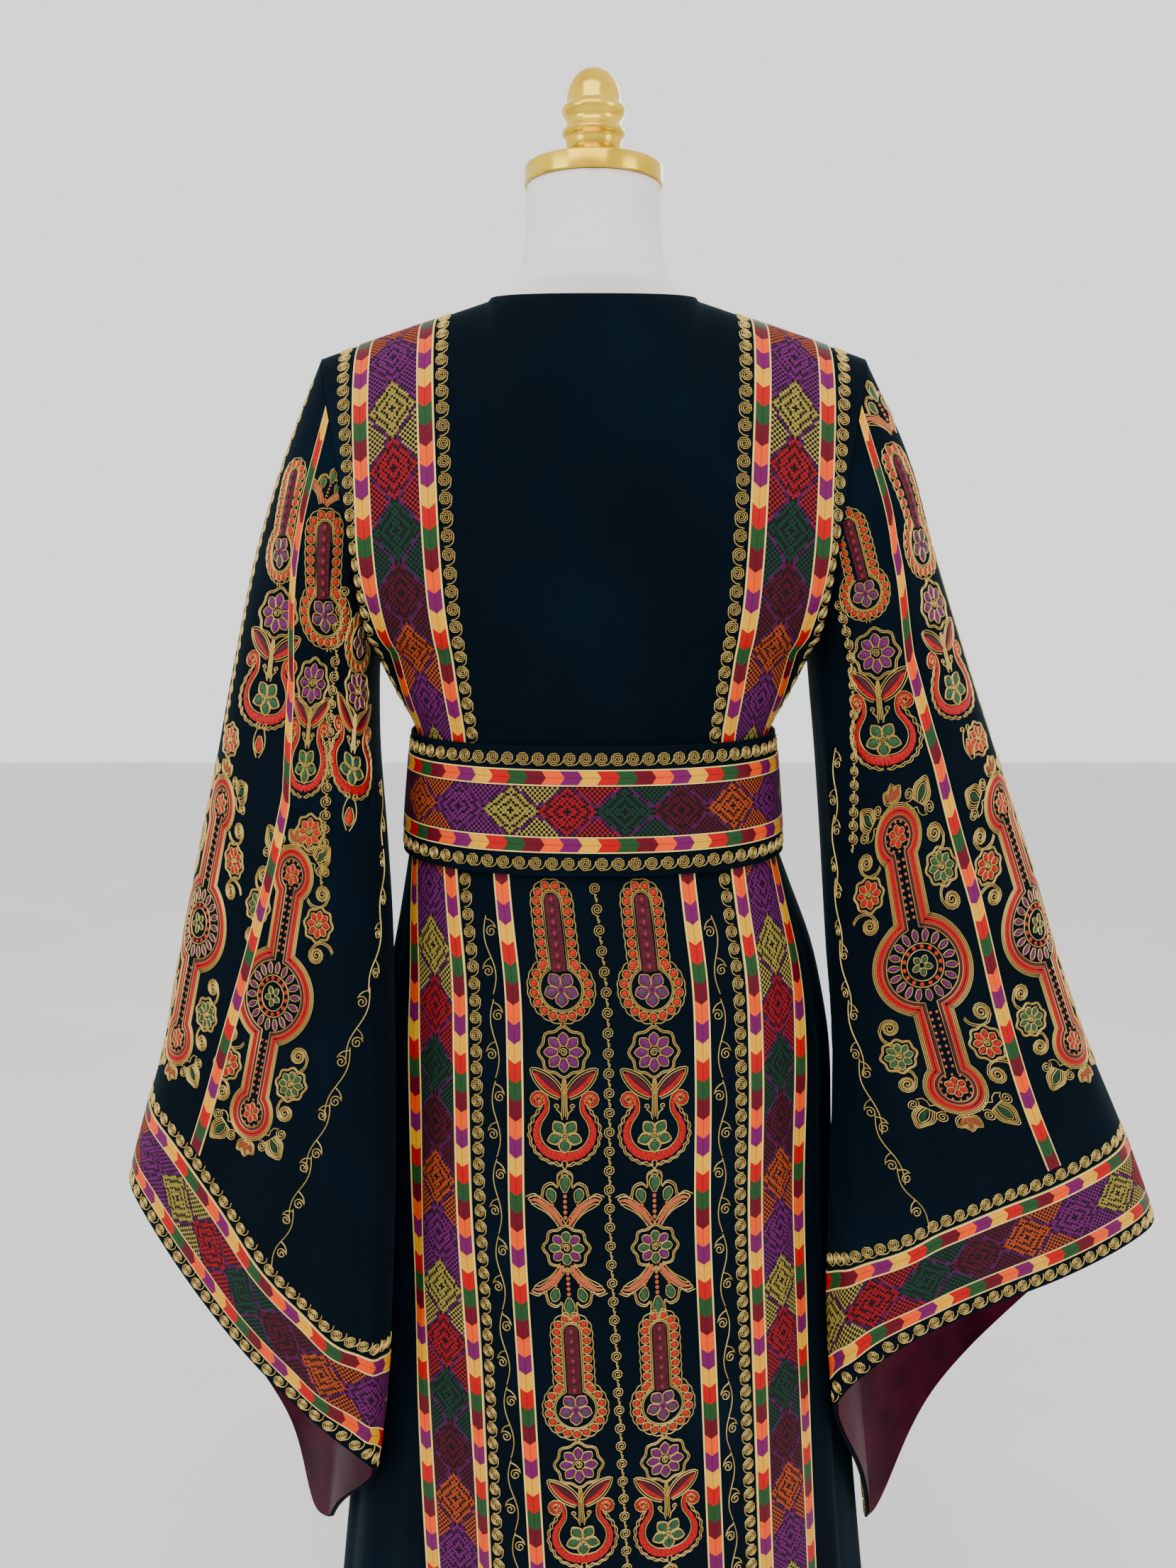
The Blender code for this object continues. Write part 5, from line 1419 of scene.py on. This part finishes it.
def tulip_side():
    """Right half of the tulip: a leaf of red and maroon, a curl, and half of the red horseshoe."""
    half = Drawing()
    line = along(np.array([[2.0, 16.0], [21.0, -1.0]]), np.linspace(0, 1, 9) * math.hypot(19.0, 17.0))
    widths = leaf_widths(0.02, 0.98, 9, 3.5)
    half.fill("red", beside(line, -1.0), widths * 0.85, 0.6)
    half.fill("maroon", beside(line, 0.9), widths * 0.72, 0.9)
    for reach in (1.2, 3.0):
        out = aside(line) * (widths + reach)[:, None]
        tip = line[-1] + (1 + reach) * np.array([0.72, -0.62])
        half.cord(curve(np.concatenate([line[:1], line + out, [tip], (line - out)[::-1]]), 2.2))
    half.cord(spiral(6.0, 23.5, 0.5, 2.2, 1.2, 90, -1), curve([[6, 25.7], [3.0, 28.5], [1.6, 33]], 2))
    curl = spiral(18.6, 19.0, 1.6, 5.4, 1.5, 180, -1)
    band = np.concatenate([curl, curve([[13.0, 20.5], [13.6, 27.0], [18.6, 35.0], [20.4, 43.0], [17.6, 52.0],
                                        [10.6, 58.6], [0.0, 61.2]], 2.2)])
    widths = np.concatenate([np.ones(len(curl)), np.linspace(1.3, 3.3, len(band) - len(curl))])[:, None]
    half.fill("red", band, widths[:, 0], 0.8)
    half.cord(band - aside(band) * (widths + 0.7))
    outer = band + aside(band) * (widths + 1.0)
    half.cord(outer[:len(curl)])
    for grow in (0, 1.4):
        half.cord(scallops((outer + aside(band) * grow)[len(curl) - 2:], 6.4, 1.5))
    return half


def tulip():
    """Two maroon leaves on a gold stem, over a red horseshoe that ends in spirals round a clover."""
    drawing = Drawing().add(tulip_side()).add(tulip_side(), flip=-1)
    for x in (-1.8, -0.6, 0.6, 1.8):
        drawing.cord(curve([[x * 0.5, 4.0], [x, 12.0], [x * 0.9, 22.0], [x * 1.3, 31.0]], 3))
    return drawing.add(clover(), 0, 45)


def palmette():
    """Three drops over spread wings and beads, a small flower, and the same upside down."""
    drawing = Drawing()
    wing = curve([[2.5, 42.0], [8.0, 33.0], [14.0, 27.0], [20.5, 23.0], [25.0, 23.5]], 2.2)
    widths = leaf_widths(0.08, 0.95, len(wing), 2.2, 0.7)
    for flip in (1, -1):
        drawing.fill("peach", wing * [flip, 1], widths)
        drawing.cord(beside(wing, 2.8) * [flip, 1]).cord(beside(wing, -2.8) * [flip, 1])
        drawing.drop("green", flip * 9.6, 20.0, -4.5, 5.5, 2.6, flip * 14)
        for x, y in curve([[9.0, 26.5], [6.0, 33.0], [2.0, 41.0]], 3.0)[:-1]:
            drawing.dot("peach", flip * x, y, 1.2)
    drawing.drop("green", 0, 11.0, -6.0, 6.5, 3.0, 0)
    for y in range(20, 37, 4):
        drawing.dot("peach", 0, y, 1.5)
    crown = np.array([[26.5, 22.0], [21.0, 19.5], [16.5, 22.0], [14.5, 14.0], [9.0, 11.0], [5.0, 14.0],
                      [5.0, 5.0], [0, 1.5]])
    drawing.pair(curve(crown, 2.0)).pair(curve(crown * [1.06, 1] + [0, -1.4], 2.2))
    return drawing.pair(curve([[26.5, 22.0], [22.0, 27.5], [13.0, 33.0], [5.0, 42.0]], 2.2))


def repeat():
    """One full repeat of the skirt's embroidery: key, daisy, tulip, link, palmette, flower, palmette."""
    drawing = Drawing().add(key()).add(daisy(), 0, 113).add(tulip(), 0, 128)
    drawing.pair(curve([[0, 191], [2.4, 194], [0, 198], [-2.4, 202], [0, 206]], 2))
    drawing.add(palmette(), 0, 198).add(daisy(("green", "purple"), 12.2, 16.0), 0, 257)
    return drawing.add(palmette(), 0, 312, turn=180)


def coil():
    """One coil of gold cord, wound three times round itself, and its link to the next one below."""
    wound = spiral(0, 0, 0.7, 4.9, 3.0, 150, -1, step=54)
    return Drawing().cord(wound, [[-3.6, 4.6], [-1.2, 6.6], [2.2, 7.2]])


def chain_link():
    """Small spiral of the centre chain, and the twisted link under it."""
    drawing = Drawing().cord(spiral(0, 0, 0.6, 4.3, 2.2, 100, -1), [[-0.6, 6.2], [0.9, 8.0], [-0.4, 9.9]])
    return drawing.cord(curve([[0.6, 4.3], [-0.9, 6.8], [0.6, 9.6]], 2.0))


CHAIN_PITCH = 10.5
VINE_PITCH = 56


def vine_turn():
    """One turn of the vine: a waving stem with a curl on each side."""
    y = np.linspace(0, VINE_PITCH, 19)
    drawing = Drawing().cord(np.stack([3.0 * np.sin(2 * np.pi * y / VINE_PITCH), y], axis=1))
    curl = Drawing().cord(curve([[0.6, 0.0], [-4.0, 2.4], [-7.0, 7.4]], 2.4)[:-1],
                          spiral(-2.8, 9.4, 0.8, 4.4, 1.6, 205, -1)[::-1])
    return drawing.add(curl, 0, 2.0).add(curl, 0, 2.0 + VINE_PITCH / 2, flip=-1)


def medallion_outline(grow):
    """Right side of the medallion, from top to bottom: small round end, neck, middle, neck, end."""
    small, big, neck = 13.0 + grow, 28.5 + grow, 6.0 + grow
    near = math.degrees(math.asin(neck / small))
    wide = math.degrees(math.asin(neck / big))
    return np.concatenate([circle(0, -90, small, 10, -90, 90 - near),
                           circle(0, 0, big, 20, -90 + wide, 90 - wide),
                           circle(0, 90, small, 10, -90 + near, 90)])


def rosette(paint):
    """Small eight-petalled flower in a gold contour."""
    return Drawing().add(daisy((paint,), 13.0, 16.5), scale=0.74)


def bud():
    """Green drop in a triple gold contour between two gold curls, on the edges of the medallion."""
    drawing = Drawing()
    for reach in (0.9, 2.8, 4.2, 5.6):
        drawing.drop("green", 0, 0, -2.0, 9.5, 2.6, 0, edge=reach)
    return drawing.pair(spiral(10.5, 1.0, 0.6, 4.6, 2.2, 90, -1), [[7, 8], [3, 7.4], [0, 5]])


def scroll():
    """Double gold cord, coiled at one end and swinging back to the medallion's edge."""
    drawing = Drawing()
    for reach in (0, 1.5):
        swing = [[-5.0 - reach, 5.0], [-2.0, 9.0 + reach], [5.0, 11.0 + reach], [10.0, 9.0 + reach]]
        drawing.cord(spiral(0, 0, 0.7, 5.6 + reach, 2.6, 160, -1), curve(swing, 2.2))
    return drawing


def medallion():
    """Tall medallion of three round parts in red satin and gold, with rosettes, scrolls and buds round it."""
    drawing = Drawing()
    for reach in (-1.8, 0.9, 5.7, 6.9, 8.1):
        drawing.pair(medallion_outline(reach))
    for flip in (1, -1):
        for reach, paint in ((-0.5, "maroon"), (2.1, "red"), (4.4, "red")):
            drawing.fill(paint, medallion_outline(reach) * [flip, 1], 1.1)
    for y in (-90, 90):
        end = Drawing()
        end.petals("red", 6, 1.8, 7.4, 1.9, edge=0.7)
        for x, step, radius in [(0, 0, 1.2)] + [(*place, 1.0) for place in circle(0, 0, 9.8, 12)]:
            end.dot("peach", x, step, radius)
        drawing.add(end, 0, y)
    for y in (*range(-74, -32, 5), *range(34, 76, 5)):
        for x in (-2.2, 2.2):
            drawing.dot("peach", x, y, 1.1)
    drawing.petals("purple", 18, 17.0, 25.0, 1.5, edge=0.8)
    for x, y in circle(0, 0, 13.4, 14)[:-1]:
        drawing.dot("orange", x, y, 1.6)
    for reach in (15.6, 11.0):
        drawing.cord(circle(0, 0, reach, 24))
    drawing.petals("green", 5, 2.0, 7.0, 1.5, 180)
    for flip, low, high in ((1, "red", "green"), (-1, "green", "red")):
        drawing.add(rosette(low), flip * 31, -60).add(rosette(high), flip * 31, 60)
        for x, y, turn in ((31, -82, -20), (33, -38, 150), (33, 38, 30), (31, 82, 200)):
            drawing.add(scroll(), flip * x, y, turn=flip * turn, flip=-flip)
        drawing.add(bud(), flip * 24, -106, turn=flip * 40)
        drawing.add(bud(), flip * 24, 106, turn=180 - flip * 40)
    for y, way in ((-113, 0), (113, 180)):
        for turn in (-48, 0, 48):
            for edge in (0.9, 2.4):
                drawing.drop("peach", 0, y, 0, 9, 2.4, way + turn, edge=edge)
    return drawing


def pendant():
    """Orange drop that hangs under a tulip, between two gold curls."""
    drawing = Drawing().pair(spiral(3.2, 3.0, 0.5, 2.4, 1.2, 90, -1),
                             curve([[3.0, 5.6], [4.6, 11.0], [4.4, 17.0], [1.0, 24.0]], 2.4))
    drawing.drop("orange", 0, 10.0, 0, 10.5, 2.3, 180)
    return drawing


CORD_SECTION = np.radians([90, 210, 330])
FILL_SECTION = np.radians([0, 58, 122, 180])


class Work:
    """All the embroidery of one cloth piece: gold cords in one mesh, satin stitch in another."""

    def __init__(self, name, surface):
        self.name = name
        self.surface = surface
        self.cords = []
        self.fills = []

    def on_cloth(self, across, up):
        """Which places lie on the cloth, a millimetre or more from its edges."""
        room = 1 * MM
        return ((up > self.surface.up[0] + room) & (up < self.surface.up[-1] - room)
                & (across > self.surface.across[0] + room) & (across < self.surface.across[-1] - room))

    def lay(self, drawing, across, up, turn=0.0, flip=1, scale=1.0, narrow=1.0):
        """Lays a drawing with its origin at a place on the cloth, upright along the cloth's columns and
        in true proportions; turn in degrees. What falls past a seam is cut off there."""
        cos, sin = math.cos(math.radians(turn)), math.sin(math.radians(turn))
        items = [(self.cords, "cord", line, np.full(len(line), CORD), CORD) for line in drawing.cords]
        items += [(self.fills, paint, line, widths * scale * MM * narrow**0.5, rise * MM)
                  for paint, line, widths, rise in drawing.fills]
        flat = np.concatenate([item[2] for item in items]) * scale * MM * [flip * narrow, 1.0]
        wide, lean, tall = self.surface.lie(across, up - flat[:, 1].mean())
        sideways = (flat[:, 0] * cos - flat[:, 1] * sin) / wide
        where_across = across + sideways
        where_up = up - (flat[:, 0] * sin + flat[:, 1] * cos + sideways * lean) / tall
        points, normals = self.surface.at(where_across, where_up)
        inside = self.on_cloth(where_across, where_up)
        start = 0
        for sewn, paint, line, half, rise in items:
            kept = np.flatnonzero(inside[start:start + len(line)])
            for run in np.split(kept, np.flatnonzero(np.diff(kept) > 1) + 1):
                if len(run) > 2:
                    sewn.append((paint, points[start + run], normals[start + run], half[run], rise))
            start += len(line)

    def row(self, drawing, start, end, pitch, turn=0.0, flip=1):
        """Repeats a drawing in a line between two places on the cloth."""
        start, end = np.array([start, end], float)
        count = max(1, int(round(np.linalg.norm(end - start) / (pitch * MM))))
        for k in range(count):
            self.lay(drawing, *(start + (end - start) * (k + 0.5) / count), turn, flip)

    def sew(self):
        """Makes the meshes and returns them."""
        kinds = ((self.cords, CORD_SECTION, CORD * 0.8), (self.fills, FILL_SECTION, TRIM_SINK))
        return [self.swept(*kind) for kind in kinds if kind[0]]

    def swept(self, lines, section, lift):
        """Carries a section along every line and closes its ends."""
        points, faces, corners, numbers = [], [], [], []
        paints = list(dict.fromkeys(line[0] for line in lines))
        closed = np.append(section, section[0] + 2 * math.pi)
        count = 0
        for paint, line, normals, half, rise in lines:
            ahead = unit(np.gradient(line, axis=0))
            side = unit(np.cross(ahead, normals))
            wide = half[:, None, None] * np.cos(section)[:, None] * side[:, None]
            tall = (lift + rise * np.sin(section))[:, None] * np.cross(side, ahead)[:, None]
            points.append((line[:, None] + wide + tall).reshape(-1, 3))
            index = close(numbers_of(len(line), len(section), count))
            count += len(points[-1])
            u = closed * CORD if paint == "cord" else np.cos(closed) * half.max()
            uv = np.stack(np.broadcast_arrays(u, reach_along(line)[:, None]), -1)
            walls = cells(index, True)
            faces += [*walls, index[0, :-1], index[-1, -2::-1]]
            corners += [cells(uv, True).reshape(-1, 2), np.zeros((2 * len(section), 2))]
            numbers += [paints.index(paint)] * (len(walls) + 2)
        name = f"{self.name}_{FINISHES[paints[0]].ending}"
        return piece(name, np.concatenate(points), faces, paints, np.concatenate(corners), numbers, sharp=80)


# Where each motif lies on a sleeve: its name, share of the way down from the armhole to the cuff,
# distance from the outer fold towards the back in millimetres, turn, size, and width against height
SLEEVE_MOTIFS = {
    LEFT: [
        ("key", 0.088, 72, -16, 0.9, 0.9), ("daisy", 0.225, 110, 0, 1.0, 0.95),
        ("tulip", 0.252, 111, 0, 1.0, 0.95), ("pendant", 0.375, 108, 0, 1.1, 1.0),
        ("palmette", 0.0, 120, -6, 0.64, 0.85), ("key", 0.042, 134, -18, 1.0, 0.7),
        ("daisy", 0.196, 177, 0, 1.0, 0.62), ("tulip", 0.220, 178, 0, 1.0, 0.56),
        ("key", -0.115, 240, 0, 1.0, 1.0), ("daisy", 0.092, 244, 0, 1.0, 1.0),
        ("tulip", 0.12, 242, 4, 1.0, 1.0), ("pendant", 0.245, 238, 6, 1.2, 1.0),
        ("orange_rosette", 0.385, 190, 0, 1.0, 0.8), ("orange_rosette", 0.47, 64, 0, 1.0, 0.9),
        ("medallion", 0.660, 169, 2, 0.98, 0.88), ("medallion", 0.725, 66, 0, 1.01, 0.88),
    ],
    RIGHT: [
        ("palmette", 0.003, 50, 0, 0.95, 1.05), ("key", 0.073, 66, -4, 1.0, 1.0),
        ("daisy", 0.255, 72, 0, 1.0, 0.95), ("tulip", 0.282, 73, 0, 1.0, 0.95),
        ("pendant", 0.405, 73, 0, 1.1, 1.0), ("key", 0.005, 150, -10, 0.8, 1.0),
        ("daisy", 0.166, 166, 0, 1.0, 0.95), ("tulip", 0.192, 167, 0, 1.0, 0.95),
        ("orange_rosette", 0.44, 60, 0, 1.0, 1.0), ("medallion", 0.622, 163, 0, 1.05, 0.97),
        ("medallion", 0.695, 54, 0, 1.08, 0.97),
    ],
}
# Lines of small repeated motifs down a sleeve: name, pitch, then share and distance at each end
SLEEVE_TRAILS = {
    LEFT: [("chain", CHAIN_PITCH, 0.02, 30, 0.14, 46), ("chain", CHAIN_PITCH, 0.14, 46, 0.47, 48),
           ("chain", CHAIN_PITCH, 0.02, 190, 0.12, 207), ("chain", CHAIN_PITCH, 0.12, 207, 0.42, 208),
           ("vine", VINE_PITCH, 0.15, 300, 0.94, 218)],
    RIGHT: [("chain", CHAIN_PITCH, 0.13, 20, 0.46, 22), ("chain", CHAIN_PITCH, 0.02, 202, 0.36, 212),
            ("vine", VINE_PITCH, 0.14, 236, 0.94, 226)],
}
MOTIFS = {"key": key(), "daisy": daisy(), "tulip": tulip(), "palmette": palmette(), "medallion": medallion(),
          "pendant": pendant(), "orange_rosette": rosette("orange"), "chain": chain_link(),
          "vine": vine_turn(), "coil": coil(), "repeat": repeat()}
# Motifs that start further round than this stay on the back of a sleeve
FRONT_REACH = 120
CUFF_COILS = (7 * MM, 81 * MM)
BELT_COILS = (9 * MM, 82.5 * MM)
COIL_COLUMN = 97 * MM
VINE_COLUMN = 82 * MM
MOTIF_COLUMN = 32 * MM
MOTIF_TOP_Z = 0.998
REPEAT = 310 * MM
CENTRE_CHAIN_PITCH = 14.0
BODICE_BAND_WIDE = 71 * MM
BODICE_COILS_END = 46 * MM


def sleeve_place(face, share, across):
    """Place on a sleeve's cloth, on its back or its front."""
    return face * across * MM, CUFF_TOP + SLEEVE_RISE * (1 - share)


def embroider_sleeve(hand, label, surface, cuff):
    """Motifs and trails on the back of a sleeve, the same drawn in on the front, and the cuff's coils."""
    work = Work(f"sleeve_{label}", surface)
    for face in (1, -1):
        for motif, share, across, turn, scale, narrow in SLEEVE_MOTIFS[hand]:
            if face > 0 or across <= FRONT_REACH:
                work.lay(MOTIFS[motif], *sleeve_place(face, share, across), face * turn, face, scale, narrow)
        for motif, pitch, share_top, across_top, share_low, across_low in SLEEVE_TRAILS[hand]:
            if face > 0 or across_top <= FRONT_REACH:
                top = sleeve_place(face, share_top, across_top)
                low = sleeve_place(face, share_low, across_low)
                lean = math.degrees(math.atan2(low[0] - top[0], top[1] - low[1]))
                work.row(MOTIFS[motif], top, low, pitch, -lean)
    made = work.sew()
    trim = Work(f"cuff_{label}", cuff)
    for height in CUFF_COILS:
        trim.row(MOTIFS["coil"], (4 * MM, height), (cuff.across[-1] - 4 * MM, height), COIL_PITCH, -90)
    return made + trim.sew()


def embroider_skirt(tag, surface):
    """Coils beside the tapes, and on the back the two columns of motifs, the centre chain and vines."""
    work = Work(f"skirt_{tag}", surface)
    top, low = BELT_BOTTOM_Z - 2 * MM, HEM_Z + 3 * MM
    for hand in (LEFT, RIGHT):
        coils, vines = hand * COIL_COLUMN, hand * VINE_COLUMN
        work.row(MOTIFS["coil"], (coils, top), (coils, low), COIL_PITCH, 0, hand)
        if tag == "back":
            work.row(MOTIFS["vine"], (vines, top), (vines, low), VINE_PITCH, 0, hand)
            for k in range(4):
                work.lay(MOTIFS["repeat"], hand * MOTIF_COLUMN, MOTIF_TOP_Z - k * REPEAT, flip=hand)
    if tag == "back":
        work.row(MOTIFS["chain"], (0, top), (0, low), CENTRE_CHAIN_PITCH)
    return work.sew()


def embroider_bodice(tag, surface):
    """Coils along both edges of the bodice's bands."""
    work = Work(f"bodice_{tag}", surface)
    top, low = surface.up[-1], BODICE_COILS_END
    for hand in (LEFT, RIGHT):
        for across in (hand * CENTRE_REACH, hand * (CENTRE_REACH + BODICE_BAND_WIDE)):
            work.row(MOTIFS["coil"], (across, top), (across, low), COIL_PITCH, 0, hand)
    return work.sew()


def embroider_belt(surface):
    """Coils along both edges of the belt."""
    work = Work("belt", surface)
    end = surface.across[-1] - 1 * MM
    for height in BELT_COILS:
        work.row(MOTIFS["coil"], (-end, height), (end, height), COIL_PITCH, -90)
    return work.sew()


skirt = build_skirt()
bodice = {tag: build_bodice(side, tag) for side, tag in SIDE_NAME.items()}
belt = build_belt()
sleeves = {label: build_sleeve(hand, label) for label, hand in HANDS.items()}
form = build_form()
build_stand()
studio()
camera()

for tag in ("back", "front"):
    skirt[tag].trim + embroider_skirt(tag, skirt[tag].surface)
for tag, area in (("back", 0.148), ("front", 0.145)):
    bodice[tag].trim + embroider_bodice(tag, bodice[tag].surface)
belt.trim + embroider_belt(belt.surface)
for label, area in (("left", 0.41), ("right", 0.415)):
    cloth, lining, cuff = sleeves[label]
    cloth.trim + embroider_sleeve(HANDS[label], label, cloth.surface, cuff)
for label, area in (("left", 0.222), ("right", 0.225)):
    cloth, lining, cuff = sleeves[label]
